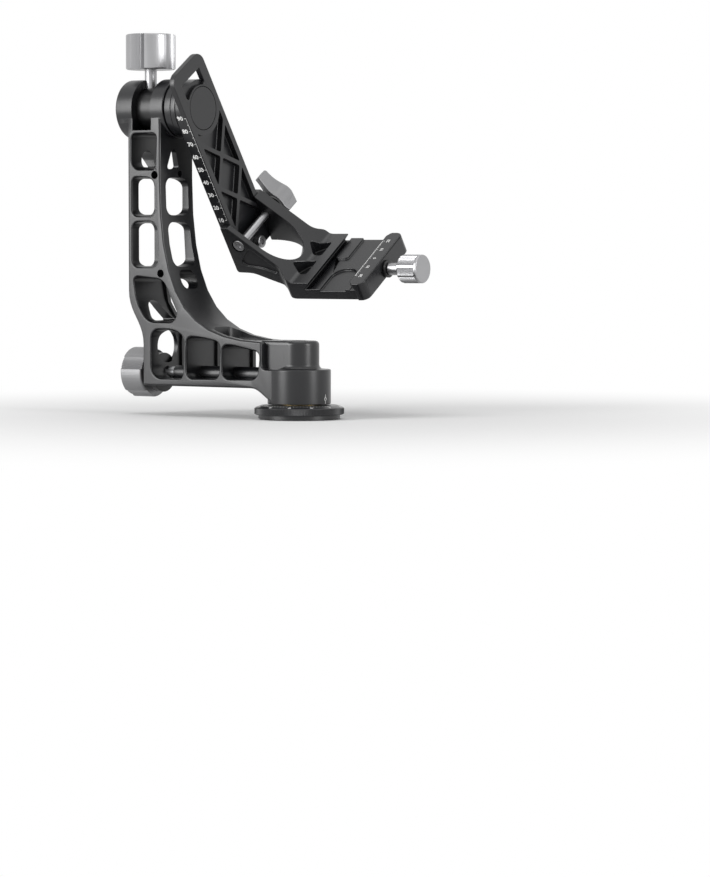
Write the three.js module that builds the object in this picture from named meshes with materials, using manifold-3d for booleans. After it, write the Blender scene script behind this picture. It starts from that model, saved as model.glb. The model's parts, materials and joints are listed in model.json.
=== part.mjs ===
// Gimbal tripod head: a pan base, an L-shaped skeleton arm, a swing plate on a
// side tilt axle, a cradle that slides on the plate, and a dovetail clamp.
// Millimetres, +Z up. The origin is on the pan axis at the underside of the base.
// The arm runs towards -X, and the tilt axle runs along X at AXIS_Z.
import * as THREE from 'three';
import Module from 'manifold-3d';
import { mergeVertices } from 'three/addons/utils/BufferGeometryUtils.js';

const wasm = await Module();
wasm.setup();

// Driving dimensions
const GAP = 0.3;                 // running and seating clearance
const BASE_R = 29;
const BASE_RIM = [2.6, 7.3];     // the knurled band
const BASE_TOP = 8.7;
const BASE_BEVEL_R = 24.5;
const COLLAR_R = 20.5;
const COLLAR_Z = [9.4, 31.8];
const WASHER_R = 14.5;
const WASHER_TOP = 9.8;
const BOSS_R = 13;
const BOSS_TOP = 50.2;
const SPINDLE_R = 6.5;
const BEARING_R = 10.5;
const ARM_HALF = 18.4;           // half depth of the arm, along Y
const ARM_END_X = -17.2;
const ARM_CHAMFER = 1.4;
const WINDOW_CHAMFER = 0.9;
const ARM_BOTTOM = 19.4;
const FOOT_X = -113.2;           // left face of the arm's foot
const UPRIGHT_X = [-125.2, -98.4];
const FAR_WALL_Y = 14;
const FAR_STEP = 1.6;            // how much narrower the lower windows are through the far wall
const AXIS_Z = 201.4;            // height of the tilt axis
const BARREL_R = 19.5;
const BARREL_X = [-134.5, -95.5];
const GROOVE_X = [-121, -105.6];
const SLEEVE_R = 14.2;
const AXLE_R = 8;
const ROD_R = 4;                 // both lock rods
const PAN_ROD_Z = 27.5;
const TILT_ROD_X = -119.5;
const KNOB_R = 16.5;
const KNOB_LOBES = 4;
const LOBE_SPAN = 54;            // degrees of each smooth lobe
const LAND_DEPTH = 1.1;          // how deep the serrated lands lie between the lobes
const SWING_TILT = 34.5;         // degrees, the swing as photographed
const PLATE_HALF = 19;
const PLATE_X = [-85.5, -76.5];
const PLATE_THIN = 4;
const PLATE_TOP = 33.5;
const PLATE_END = -112;
const HUB_X = [-89.5, -85.8];
const CAP_R = 14.2;
const LATTICE_HALF = 14.6;
const LATTICE_CROSSINGS = [-36.5, -70];
const LATTICE_PITCH = 33.5;
const RIB_W = 2.8;
const WALL_HALF = 23.5;          // outer half width of the cradle walls
const CHANNEL_HALF = PLATE_HALF + GAP;
const CLAMP_HALF = 29;
const ROD_X = -72.8;             // cradle lock rod, along the swing's width
const ROD_Z = -93.8;
const LOCK_ROD_R = 2.8;
const JAW_TOP = -119.3;
const FLOOR_Z = -124.2;
const FLOOR_X = [-23.2, 8];      // the raised seat of the clamp, between the two lips
const FLOOR_RELIEF_Z = -124.6;
const CLAMP_BOTTOM = -132.3;
const FIXED_LIP_X = -23.5;
const MOVING_LIP_X = 8.3;
const BODY_END_X = 12;
const JAW_OUT_X = 20.3;
const SCREW_Z = -127.7;
const CLAMP_KNOB_X = [33, 48.5];
const CLAMP_KNOB_R = 9.5;

// Finishes
const finish = (color, roughness, metalness) => new THREE.MeshStandardMaterial({ color, roughness, metalness });
const anodised = finish(0x1b1c1f, 0.45, 0.5);
const anodisedDark = finish(0x101113, 0.5, 0.4);
const polished = finish(0xd9dadc, 0.2, 1);
const matteSilver = finish(0xa9abad, 0.45, 0.9);
const steel = finish(0x8f9296, 0.35, 1);
const brass = finish(0xb08d4a, 0.35, 1);

// Solids: closed geometries in, booleans between them
function solidOf(geometry) {
  const bare = geometry.clone();
  bare.deleteAttribute('normal');
  bare.deleteAttribute('uv');
  const merged = mergeVertices(bare, 1e-4);
  const mesh = new wasm.Mesh({
    numProp: 3,
    vertProperties: new Float32Array(merged.attributes.position.array),
    triVerts: new Uint32Array(merged.index.array),
  });
  return new wasm.Manifold(mesh);
}

function geometryOf(solid) {
  const mesh = solid.getMesh();
  const geometry = new THREE.BufferGeometry();
  geometry.setAttribute('position', new THREE.BufferAttribute(new Float32Array(mesh.vertProperties), 3));
  geometry.setIndex(new THREE.BufferAttribute(new Uint32Array(mesh.triVerts), 1));
  geometry.computeVertexNormals();
  return geometry;
}

const join = (...solids) => solids.reduce((a, b) => a.add(b));
const cut = (first, ...rest) => rest.reduce((a, b) => a.subtract(b), first);

// Shape planes: 'x' draws (Y, Z) and runs along X, 'y' draws (X, Z), 'z' draws (X, Y)
const PLANES = {
  x: new THREE.Matrix4().set(0, 0, 1, 0, 1, 0, 0, 0, 0, 1, 0, 0, 0, 0, 0, 1),
  y: new THREE.Matrix4().set(1, 0, 0, 0, 0, 0, -1, 0, 0, 1, 0, 0, 0, 0, 0, 1),
  z: new THREE.Matrix4(),
};

function prism(shape, axis, from, to, curveSegments = 4, chamfer = 0, at = [0, 0, 0]) {
  const geometry = new THREE.ExtrudeGeometry(shape, {
    depth: to - from - 2 * chamfer,
    bevelEnabled: chamfer > 0,
    bevelThickness: chamfer,
    bevelSize: chamfer,
    bevelOffset: -chamfer,
    bevelSegments: 1,
    curveSegments,
  });
  geometry.translate(0, 0, (axis === 'y' ? -to : from) + chamfer);
  geometry.applyMatrix4(PLANES[axis]);
  geometry.translate(...at);
  return solidOf(geometry);
}

// Two cutters that take the sharp edge off an outline where it meets the faces
// at -half and +half: each has grown by the chamfer at its face
function flares(shape, axis, half, chamfer, curveSegments = 3) {
  const depth = 3;
  return [half, -half - depth].map((start) => {
    const geometry = new THREE.ExtrudeGeometry(shape, {
      depth,
      bevelThickness: chamfer,
      bevelSize: chamfer,
      bevelSegments: 1,
      curveSegments,
    });
    geometry.translate(0, 0, start);
    geometry.applyMatrix4(PLANES[axis]);
    return solidOf(geometry);
  });
}

function box(x, y, z) {
  const geometry = new THREE.BoxGeometry(x[1] - x[0], y[1] - y[0], z[1] - z[0]);
  geometry.translate((x[0] + x[1]) / 2, (y[0] + y[1]) / 2, (z[0] + z[1]) / 2);
  return solidOf(geometry);
}

// A turned solid from (radius, length) pairs, whose length runs along the axis
const TURNS = {
  x: new THREE.Matrix4().makeRotationZ(-Math.PI / 2),
  y: new THREE.Matrix4(),
  z: new THREE.Matrix4().makeRotationX(Math.PI / 2),
};

function turnGeometry(profile, axis, at = [0, 0, 0], segments = 24) {
  const points = profile.map(([r, l]) => new THREE.Vector2(r, l));
  const geometry = new THREE.LatheGeometry(points, segments);
  geometry.applyMatrix4(TURNS[axis]);
  geometry.translate(...at);
  return geometry;
}

const turned = (profile, axis, at, segments) => solidOf(turnGeometry(profile, axis, at, segments));

const rodProfile = (r, a, b) => [[0, a], [r, a], [r, b], [0, b]];
const ringProfile = (inner, outer, a, b) => [[inner, a], [outer, a], [outer, b], [inner, b], [inner, a]];
const cylinder = (r, axis, a, b, at, segments = 20) => turned(rodProfile(r, a, b), axis, at, segments);

// A closed outline whose corners are rounded by the radius given with each point
function roundedOutline(points, radius = 0) {
  const shape = new THREE.Shape();
  const count = points.length;
  points.forEach((point, i) => {
    const corner = new THREE.Vector2(point[0], point[1]);
    const r = point[2] ?? radius;
    const before = new THREE.Vector2(...points[(i + count - 1) % count].slice(0, 2));
    const after = new THREE.Vector2(...points[(i + 1) % count].slice(0, 2));
    const start = corner.clone().add(before.sub(corner).setLength(r));
    const end = corner.clone().add(after.sub(corner).setLength(r));
    if (i === 0) shape.moveTo(start.x, start.y);
    else shape.lineTo(start.x, start.y);
    if (r > 0) shape.quadraticCurveTo(corner.x, corner.y, end.x, end.y);
  });
  return shape;
}

const rectangle = (x, y, r) => roundedOutline([[x[0], y[0]], [x[1], y[0]], [x[1], y[1]], [x[0], y[1]]], r);

function ellipse(cx, cy, rx, ry) {
  const shape = new THREE.Shape();
  shape.absellipse(cx, cy, rx, ry, 0, Math.PI * 2);
  return shape;
}

const head = new THREE.Group();
const swing = new THREE.Group();
swing.position.z = AXIS_Z;
swing.rotation.x = THREE.MathUtils.degToRad(SWING_TILT);
head.add(swing);

function place(name, shape, material, parent = head) {
  const geometry = shape.isBufferGeometry ? shape : geometryOf(shape);
  const mesh = new THREE.Mesh(geometry, material);
  mesh.name = name;
  parent.add(mesh);
  return mesh;
}

// Pan base: disc, tripod thread, spindle and what holds it
const FLANGE_R = 17;
const FLANGE_Z = [5.2, BASE_TOP];
const BASE_SCREW_CIRCLE = 12.5;

function baseScrewPlaces() {
  return [0, 1, 2].map((i) => {
    const angle = (i * 2 * Math.PI) / 3;
    return [BASE_SCREW_CIRCLE * Math.cos(angle), BASE_SCREW_CIRCLE * Math.sin(angle), 0];
  });
}

function makeBase() {
  const disc = turned([[0, 0], [BASE_R - 2.6, 0], [BASE_R - 2.6, BASE_RIM[0]], [BASE_R - 0.6, BASE_RIM[0]],
    [BASE_R, BASE_RIM[0] + 0.6], [BASE_R, BASE_RIM[1] - 0.5], [BASE_R - 0.5, BASE_RIM[1]], [BASE_BEVEL_R, BASE_TOP],
    [0, BASE_TOP]], 'z', [0, 0, 0], 48);
  const holes = baseScrewPlaces().map((at) => join(cylinder(1.9, 'z', -1, 6, at, 8), cylinder(3.2, 'z', -1, 2.9, at, 10)));
  place('base_disc', cut(disc, cylinder(8.3, 'z', -1, BASE_TOP + 1), cylinder(FLANGE_R + GAP, 'z', FLANGE_Z[0] - GAP, BASE_TOP + 1, [0, 0, 0], 32),
    ...holes), anodised);
  place('tripod_thread_bush', turnGeometry(ringProfile(4.6, 8, 0.4, 4.6), 'z', [0, 0, 0], 20), steel);
  const spindle = turned([[0, FLANGE_Z[0]], [FLANGE_R, FLANGE_Z[0]], [FLANGE_R, FLANGE_Z[1]],
    [SPINDLE_R, FLANGE_Z[1]], [SPINDLE_R, 44.2], [4.9, 44.2], [4.9, 47.7], [0, 47.7]], 'z');
  const threads = baseScrewPlaces().map((at) => cylinder(1.8, 'z', 4, 7.6, at, 8));
  place('pan_spindle', cut(spindle, ...threads), steel);
  baseScrewPlaces().forEach((at, i) => {
    const profile = [[0, 1.6], [1.3, 1.6], [1.3, 0.7], [2.7, 0.7], [2.7, 2.6], [1.4, 2.6], [1.4, 7.2], [0, 7.2]];
    place(`base_screw_${i + 1}`, turnGeometry(profile, 'z', at, 8), steel);
  });
  place('spindle_nut', turnGeometry(ringProfile(4.9 + GAP, 9.4, 44.6, 47.4), 'z'), steel);
}

// Arm: one machined L-frame with its windows, collar and barrel
const UPRIGHT_WINDOWS = [
  [[-121.9, 161.4, 6], [-102.5, 161.4, 2.8], [-101.8, 184.8, 3], [-121.9, 184.8, 3]],
  [[-121.7, 130.8, 4.5], [-102.9, 130.8, 4.5], [-102.9, 155.5, 6.5], [-121.7, 156.6, 4]],
  [[-121.5, 97.2, 4.5], [-100.1, 97.4, 6], [-101.8, 126.9, 5], [-121.5, 126.9, 4.5]],
];
const FOOT_WINDOWS = [
  [[-120.9, 91.2, 4], [-96.6, 89, 5], [-84.8, 66.4, 3], [-88.8, 61.2, 3], [-109.6, 61.2, 6], [-117.8, 74, 5]],
  [[-106.2, 24.2, 8], [-80.9, 24.2, 3.5], [-78.9, 51.2, 4], [-86.8, 56.1, 5], [-106.2, 56.4, 6]],
  [[-77.1, 24.5, 4.5], [-51.4, 24.9, 4.5], [-50.4, 48.6, 4], [-64, 51.2, 3], [-77.1, 52.1, 4]],
  [[-48.3, 24.8, 5], [-20.9, 25.2, 5], [-18.8, 42.7, 4], [-40.8, 46.8, 1.5], [-48.3, 46.9, 3.6]],
];
const FACE_HOLES = [[-102.8, 157.7], [-98.1, 93.1]];

function armOutline() {
  const shape = new THREE.Shape();
  shape.moveTo(FOOT_X + 2, ARM_BOTTOM);
  shape.lineTo(-26, ARM_BOTTOM);
  shape.bezierCurveTo(-18, 19.6, -14, 9.8, -3, COLLAR_Z[0]);
  shape.lineTo(0, COLLAR_Z[0]);
  shape.lineTo(0, COLLAR_Z[1]);
  shape.lineTo(ARM_END_X + 3.5, COLLAR_Z[1]);
  shape.quadraticCurveTo(ARM_END_X, COLLAR_Z[1], ARM_END_X, COLLAR_Z[1] + 3.5);
  shape.lineTo(ARM_END_X, 47.4);
  shape.quadraticCurveTo(ARM_END_X, 49.3, ARM_END_X - 2, 49.5);
  shape.bezierCurveTo(-72, 51, UPRIGHT_X[1], 70, UPRIGHT_X[1], 156);
  shape.lineTo(UPRIGHT_X[1], AXIS_Z);
  shape.lineTo(UPRIGHT_X[0], AXIS_Z);
  shape.lineTo(UPRIGHT_X[0], 82);
  shape.bezierCurveTo(UPRIGHT_X[0], 66, FOOT_X, 62, FOOT_X, 46);
  shape.lineTo(FOOT_X, ARM_BOTTOM + 2);
  shape.quadraticCurveTo(FOOT_X, ARM_BOTTOM, FOOT_X + 2, ARM_BOTTOM);
  return shape;
}

// A window through both side walls, whose left edge steps in through the far one
function windowCutters(points, step = 0) {
  const left = Math.min(...points.map(([x]) => x));
  const near = roundedOutline(points);
  const far = roundedOutline(points.map(([x, z, r]) => [x < left + 12 ? x + step : x, z, r]));
  return [
    prism(near, 'y', -30, FAR_WALL_Y, 3),
    prism(far, 'y', FAR_WALL_Y - 1, 30, 3),
    flares(near, 'y', ARM_HALF, WINDOW_CHAMFER)[0],
    flares(far, 'y', ARM_HALF, WINDOW_CHAMFER)[1],
  ];
}

// The boss as seen from above: round at the pan axis, straight towards the arm
function bossPlan() {
  const shape = new THREE.Shape();
  shape.moveTo(ARM_END_X - 5, -BOSS_R);
  shape.lineTo(0, -BOSS_R);
  shape.absarc(0, 0, BOSS_R, -Math.PI / 2, Math.PI / 2, false);
  shape.lineTo(ARM_END_X - 5, BOSS_R);
  shape.lineTo(ARM_END_X - 5, -BOSS_R);
  return shape;
}

// The gusset that carries the barrel's overhang on the outer side of the upright
function gusset() {
  const side = roundedOutline([[-122, 158], [UPRIGHT_X[0], 161.4], [-131.7, 169.6], [-131.7, 192], [-122, 192]]);
  const plan = roundedOutline([[-121, -16.4], [-125, -16.4], [-131.7, -8.2], [-131.7, 8.2], [-125, 16.4], [-121, 16.4]]);
  return prism(side, 'y', -17, 17).intersect(prism(plan, 'z', 150, 200));
}

function makeArm() {
  const collar = turned([[0, COLLAR_Z[0]], [COLLAR_R - 0.5, COLLAR_Z[0]], [COLLAR_R, COLLAR_Z[0] + 0.5],
    [COLLAR_R, COLLAR_Z[1] - 0.8], [COLLAR_R - 0.8, COLLAR_Z[1]], [BOSS_R + 3.2, COLLAR_Z[1]], [BOSS_R + 0.9, COLLAR_Z[1] + 0.9],
    [BOSS_R - 0.1, COLLAR_Z[1] + 3.5], [0, COLLAR_Z[1] + 3.5]], 'z', [0, 0, 0], 36);
  const boss = prism(bossPlan(), 'z', COLLAR_Z[1] - 3, BOSS_TOP, 9, 2);
  const barrel = turned([[0, BARREL_X[0]], [BARREL_R - 1.2, BARREL_X[0]], [BARREL_R, BARREL_X[0] + 1.2],
    [BARREL_R, BARREL_X[1] - 0.6], [BARREL_R - 0.6, BARREL_X[1]], [0, BARREL_X[1]]], 'x', [0, 0, AXIS_Z], 40);
  const frame = prism(armOutline(), 'y', -ARM_HALF, ARM_HALF, 8, ARM_CHAMFER);
  const body = join(frame, collar, boss, barrel, gusset());

  const windows = [
    ...UPRIGHT_WINDOWS.flatMap((points) => windowCutters(points)),
    ...FOOT_WINDOWS.flatMap((points) => windowCutters(points, FAR_STEP)),
  ];
  const through = (shape, from, to) => prism(shape, 'x', from, to, 3);
  const outerWindows = [
    through(roundedOutline([[-7.2, 163.2, 1], [6.4, 163.2, 1], [6.4, 174.2, 6.5], [-7.2, 174.2, 6.5]]), -140, -112),
    through(rectangle([-10.8, 10.8], [131.8, 155.6], 5), -140, -112),
    through(rectangle([-10.8, 10.8], [97.8, 126.2], 5), -140, -112),
    through(roundedOutline([[-12, 61.8, 2], [12, 61.8, 2], [3, 75.2, 4], [-6, 75.2, 4]]), -140, -104),
    through(ellipse(0, 45, 11.8, 10.2), -120, -100),
    through(rectangle([-16.2, 16.2], [33.4, 58], 11), -120, -108.5),
  ];
  const innerWindows = [
    through(roundedOutline([[-10.8, 161.7, 2.5], [2.4, 161.7, 2.5], [-0.9, 174.4, 2], [-5.3, 174.4, 2]]), -112, -80),
    through(rectangle([-12.2, 12.2], [131.4, 156], 6), -112, -80),
    through(rectangle([-12, 12], [97.5, 126.8], 6), -112, -80),
    through(rectangle([-8.5, 8.5], [83, 95.5], 5), -105, -70),
  ];
  const slot = prism(rectangle([-62, -26.5], [-13.2, 13.2], 7), 'z', 46.9, 75);
  const tube = cylinder(5, 'x', -98, -14, [0, 0, PAN_ROD_Z]);
  const open = cut(body, ...windows, ...outerWindows, ...innerWindows, slot).add(tube);

  const grooveBox = box(GROOVE_X, [-30, 30], [AXIS_Z - SLEEVE_R - 0.2, AXIS_Z + 30]);
  const bores = [
    cylinder(SLEEVE_R + GAP, 'x', BARREL_X[0] - 1, BARREL_X[1] + 1, [0, 0, AXIS_Z], 32),
    cylinder(WASHER_R + GAP, 'z', COLLAR_Z[0] - 1, WASHER_TOP + GAP, [0, 0, 0], 32),
    cylinder(BEARING_R + GAP, 'z', COLLAR_Z[0] - 1, 18.5, [0, 0, 0], 24),
    cylinder(BEARING_R + GAP, 'z', 35.5, BOSS_TOP + 1, [0, 0, 0], 24),
    cylinder(SPINDLE_R + 1, 'z', 10, 40, [0, 0, 0], 16),
    cylinder(ROD_R + GAP, 'x', FOOT_X - 2, -5, [0, 0, PAN_ROD_Z]),
    cylinder(13.4, 'x', -120, -108.5, [0, 0, PAN_ROD_Z], 32),
    cylinder(ROD_R + GAP, 'z', AXIS_Z + 9, AXIS_Z + 30, [TILT_ROD_X, 0, 0]),
  ];
  const dimples = FACE_HOLES.flatMap(([x, z]) => [
    cylinder(2.7, 'y', -ARM_HALF - 1, -ARM_HALF + 6, [x, 0, z], 14),
    cylinder(2.7, 'y', ARM_HALF - 6, ARM_HALF + 1, [x, 0, z], 14),
  ]);
  const sideDimple = cylinder(2.1, 'x', -105, -90, [0, 3.5, 158.8], 12);
  place('arm_frame', cut(open, grooveBox, ...bores, ...dimples, sideDimple), anodised);

  const washer = ringProfile(BEARING_R + 1, WASHER_R, BASE_TOP + GAP, WASHER_TOP);
  place('pan_thrust_washer', turnGeometry(washer, 'z', [0, 0, 0], 32), brass);
  const bearing = (a, b) => ringProfile(SPINDLE_R + GAP, BEARING_R, a, b);
  place('pan_bearing_lower', turnGeometry(bearing(10.2, 18.2), 'z'), steel);
  place('pan_bearing_upper', turnGeometry(bearing(35.8, 44.2), 'z'), steel);
  place('spindle_cover', turnGeometry([[0, 48.2], [BEARING_R, 48.2], [BEARING_R, 49.8], [BEARING_R - 0.4, 50.2], [0, 50.2]], 'z'), anodised);

  const sleeve = turned(ringProfile(11.5, SLEEVE_R, -131.5, BARREL_X[1] - 0.1), 'x', [0, 0, AXIS_Z], 32);
  const rodHole = cylinder(ROD_R + GAP, 'z', AXIS_Z + 9, AXIS_Z + 20, [TILT_ROD_X, 0, 0]);
  place('tilt_sleeve', cut(sleeve, rodHole), anodisedDark);
  const race = ringProfile(AXLE_R + GAP, 11.2, 0, 7);
  place('tilt_bearing_outer', turnGeometry(race, 'x', [-131, 0, AXIS_Z]), steel);
  place('tilt_bearing_inner', turnGeometry(race, 'x', [-104, 0, AXIS_Z]), steel);
  place('tilt_thrust_ring', turnGeometry([[AXLE_R + 0.6, -95.2], [17.6, -95.2], [18.3, -94.5], [18.3, -90.5], [17.8, -90],
    [AXLE_R + 0.6, -90], [AXLE_R + 0.6, -95.2]], 'x', [0, 0, AXIS_Z], 40), anodised);
  place('tilt_end_cap', turnGeometry([[0, -134.4], [13.4, -134.4], [SLEEVE_R, -133.6], [SLEEVE_R, -133], [0, -133]], 'x',
    [0, 0, AXIS_Z], 32), anodised);
  place('tilt_brake_pad', turnGeometry(rodProfile(3.8, AXLE_R + GAP, 10.9), 'z', [TILT_ROD_X, 0, AXIS_Z], 12), brass);
  place('pan_brake_pad', turnGeometry(rodProfile(3.9, -SPINDLE_R - 4.4, -SPINDLE_R - GAP), 'x', [0, 0, PAN_ROD_Z], 12), brass);
}

// Lock knobs: smooth lobes with serrated lands lying a little deeper between them
function knobOutline(radius, turn) {
  const shape = new THREE.Shape();
  const rad = THREE.MathUtils.degToRad;
  const step = 360 / KNOB_LOBES;
  const half = LOBE_SPAN / 2;
  for (let i = 0; i < KNOB_LOBES; i += 1) {
    const centre = turn + i * step;
    if (i === 0) shape.moveTo(radius * Math.cos(rad(centre - half)), radius * Math.sin(rad(centre - half)));
    shape.absarc(0, 0, radius, rad(centre - half), rad(centre + half), false);
    shape.absarc(0, 0, radius - LAND_DEPTH, rad(centre + half + 3), rad(centre + step - half - 3), false);
  }
  return shape;
}

function knobSolid(radius, a, b, axis, at, turn) {
  return prism(knobOutline(radius, turn), axis, a, b, 2, 1.3, at);
}

function makeLockKnobs() {
  const tiltGrip = knobSolid(KNOB_R, 0, 23.4, 'z', [TILT_ROD_X, 0, 227.5], 49);
  const tiltBore = cylinder(ROD_R + GAP, 'z', 226, 243, [TILT_ROD_X, 0, 0]);
  place('tilt_knob', cut(tiltGrip, tiltBore), polished);
  place('tilt_knob_rod', turnGeometry([[0, AXIS_Z + 11.3], [3.4, AXIS_Z + 11.3], [ROD_R, AXIS_Z + 12], [ROD_R, 242], [0, 242]], 'z',
    [TILT_ROD_X, 0, 0]), polished);

  const panGrip = knobSolid(KNOB_R, -133.6, -116.5, 'x', [0, 0, PAN_ROD_Z], 20);
  const panBore = cylinder(ROD_R + GAP, 'x', -127, -115, [0, 0, PAN_ROD_Z]);
  place('pan_knob', cut(panGrip, panBore), matteSilver);
  const panCollar = [[ROD_R + GAP, -116.2], [8, -116.2], [8, -113], [13, -113], [13, -108.8], [ROD_R + GAP, -108.8],
    [ROD_R + GAP, -116.2]];
  place('pan_knob_collar', turnGeometry(panCollar, 'x', [0, 0, PAN_ROD_Z], 32), anodisedDark);
  const tip = -SPINDLE_R - 4.7;
  place('pan_knob_rod', turnGeometry([[0, -126.5], [ROD_R, -126.5], [ROD_R, tip - 0.8], [3.2, tip], [0, tip]], 'x',
    [0, 0, PAN_ROD_Z]), steel);
}

// Swing plate, in the swing's own frame: Y across the plate, -Z down the plate
function plateOutline(top, corner) {
  return roundedOutline([[-PLATE_HALF, PLATE_END, 2], [PLATE_HALF, PLATE_END, 2], [PLATE_HALF, top, corner],
    [-PLATE_HALF, top, corner]]);
}

function handHole() {
  const shape = new THREE.Shape();
  const arcR = 15.6;
  shape.moveTo(-11.4, 24);
  shape.lineTo(-11.4, 14.2);
  shape.lineTo(-9.6, 12.3);
  shape.absarc(0, 0, arcR, THREE.MathUtils.degToRad(128), THREE.MathUtils.degToRad(54), true);
  shape.lineTo(11.4, 13.4);
  shape.lineTo(11.4, 24);
  shape.lineTo(-11.4, 24);
  return shape;
}

function latticePockets() {
  const floorX = PLATE_X[1] - PLATE_THIN;
  const field = prism(rectangle([-LATTICE_HALF, LATTICE_HALF], [-98, -9], 2), 'x', floorX, PLATE_X[1] + 1);
  const ribs = LATTICE_CROSSINGS.flatMap((z) => [1, -1].map((side) => {
    const length = 60;
    const rib = new THREE.BoxGeometry(12, RIB_W, length);
    rib.rotateX(side * Math.atan2(2 * LATTICE_HALF, LATTICE_PITCH));
    rib.translate(PLATE_X[1], 0, z);
    return solidOf(rib);
  }));
  return cut(field, cylinder(18, 'x', floorX - 1, PLATE_X[1] + 2, [0, 0, 0], 36), ...ribs);
}

function makeSwing() {
  const thinBack = PLATE_X[1] - PLATE_THIN;
  const thin = prism(plateOutline(PLATE_TOP, 8), 'x', thinBack, PLATE_X[1], 4, 0.6);
  const thick = prism(plateOutline(0, 0.01), 'x', PLATE_X[0], thinBack + 0.5, 4);
  const boss = cylinder(PLATE_HALF, 'x', PLATE_X[0], thinBack + 0.5, [0, 0, 0], 40);
  const hole = prism(handHole(), 'x', thinBack - 1, PLATE_X[1] + 1, 4);
  const hubScrews = [0, 1, 2].map((i) => {
    const angle = ((i * 2 + 0.5) * Math.PI) / 3;
    return [0, 9.6 * Math.cos(angle), 9.6 * Math.sin(angle)];
  });
  const recess = [
    cylinder(CAP_R + GAP, 'x', -78.9, PLATE_X[1] + 1, [0, 0, 0], 36),
    cylinder(13.4, 'x', -81.4, -78, [0, 0, 0], 32),
    cylinder(4.3, 'x', PLATE_X[0] - 1, -80, [0, 0, 0]),
    ...hubScrews.map((at) => cylinder(1.9, 'x', PLATE_X[0] - 1, -80, at, 8)),
  ];
  const stopHole = cylinder(2.5, 'x', PLATE_X[0] - 1, PLATE_X[1] + 1, [0, 0, -106], 16);
  const plate = cut(join(thin, thick, boss), hole, latticePockets(), ...recess, stopHole);
  place('swing_plate', plate, anodised, swing);

  const hub = turned(ringProfile(AXLE_R + GAP, PLATE_HALF, ...HUB_X), 'x', [0, 0, 0], 40);
  place('swing_hub', cut(hub, ...hubScrews.map((at) => cylinder(1.9, 'x', HUB_X[0] + 0.8, HUB_X[1] + 1, at, 8))), anodised, swing);
  hubScrews.forEach((at, i) => {
    const profile = [[0, HUB_X[0] + 1.1], [1.6, HUB_X[0] + 1.1], [1.6, -81.1], [3.1, -81.1], [3.1, -79.4], [1.3, -79.4],
      [1.3, -80.4], [0, -80.4]];
    place(`hub_screw_${i + 1}`, turnGeometry(profile, 'x', at, 8), steel, swing);
  });
  place('tilt_axle', turnGeometry([[0, -131], [AXLE_R, -131], [AXLE_R, -86.1], [4.1, -86.1], [4.1, -112], [0, -112]], 'x'), steel, swing);
  place('axle_retainer', turnGeometry(rodProfile(10, -132.8, -131.3), 'x'), steel, swing);
  const bolt = [[0, -110], [3.8, -110], [3.8, -81.1], [5.4, -81.1], [5.4, -79.3], [2.5, -79.3], [2.5, -80.6], [0, -80.6]];
  place('axle_bolt', turnGeometry(bolt, 'x'), steel, swing);
  place('hub_cap', turnGeometry([[0, -78.6], [CAP_R, -78.6], [CAP_R, -76.9], [CAP_R - 0.4, PLATE_X[1]], [0, PLATE_X[1]]], 'x',
    [0, 0, 0], 36), anodised, swing);
  const stop = [[0, -84.5], [2.2, -84.5], [2.2, -76.2], [4.2, -76.2], [4.2, -72.1], [3.7, -71.6], [2.1, -71.6], [2.1, -73.4], [0, -73.4]];
  place('plate_stop_screw', turnGeometry(stop, 'x', [0, 0, -106], 14), polished, swing);
}

// Cradle: a wedge with a U-shaped opening, its walls outside the plate, and the clamp body
const SLOPE = { x: -76.1, z: -79.4, angle: Math.atan2(37.4, 36.1) };

function cradleOutline() {
  return roundedOutline([[-82, -79.4], [-76.2, -79.4], [-38.2, -118.8, 1], [-36, JAW_TOP, 1], [FIXED_LIP_X, JAW_TOP],
    [FIXED_LIP_X, JAW_TOP - 0.7], [-27.4, FLOOR_Z + 0.3], [-27.4, FLOOR_RELIEF_Z], [FLOOR_X[0], FLOOR_RELIEF_Z],
    [FLOOR_X[0], FLOOR_Z], [FLOOR_X[1], FLOOR_Z], [FLOOR_X[1], FLOOR_RELIEF_Z], [BODY_END_X, FLOOR_RELIEF_Z],
    [BODY_END_X, CLAMP_BOTTOM, 0.6], [-44.8, CLAMP_BOTTOM, 8], [-46.4, -125.4, 2], [-57, -121, 4], [-69, -115.6, 4], [-82, -115, 2]]);
}

function cradlePlan() {
  const shape = new THREE.Shape();
  const flare = (side) => {
    shape.lineTo(-40, side * CLAMP_HALF);
    shape.bezierCurveTo(-43, side * CLAMP_HALF, -43.5, side * WALL_HALF, -49, side * WALL_HALF);
  };
  shape.moveTo(-90, -WALL_HALF);
  shape.lineTo(-49, -WALL_HALF);
  shape.bezierCurveTo(-43.5, -WALL_HALF, -43, -CLAMP_HALF, -40, -CLAMP_HALF);
  shape.lineTo(20, -CLAMP_HALF);
  shape.lineTo(20, CLAMP_HALF);
  flare(1);
  shape.lineTo(-90, WALL_HALF);
  shape.lineTo(-90, -WALL_HALF);
  return shape;
}

// The U drawn on the sloped face: x runs down the slope, y across it
function openingSolid() {
  const shape = new THREE.Shape();
  const near = -CHANNEL_HALF;
  const far = 14.3;
  const straight = 26;
  const end = 49.3;
  shape.moveTo(-20, near);
  shape.lineTo(straight, near);
  shape.absellipse(straight, (near + far) / 2, end - straight, (far - near) / 2, -Math.PI / 2, Math.PI / 2);
  shape.lineTo(-20, far);
  shape.lineTo(-20, near);
  const geometry = new THREE.ExtrudeGeometry(shape, { depth: 80, bevelEnabled: false, curveSegments: 8 });
  geometry.translate(0, 0, -70);
  geometry.rotateY(SLOPE.angle);
  geometry.translate(SLOPE.x, 0, SLOPE.z);
  return solidOf(geometry);
}

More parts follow.
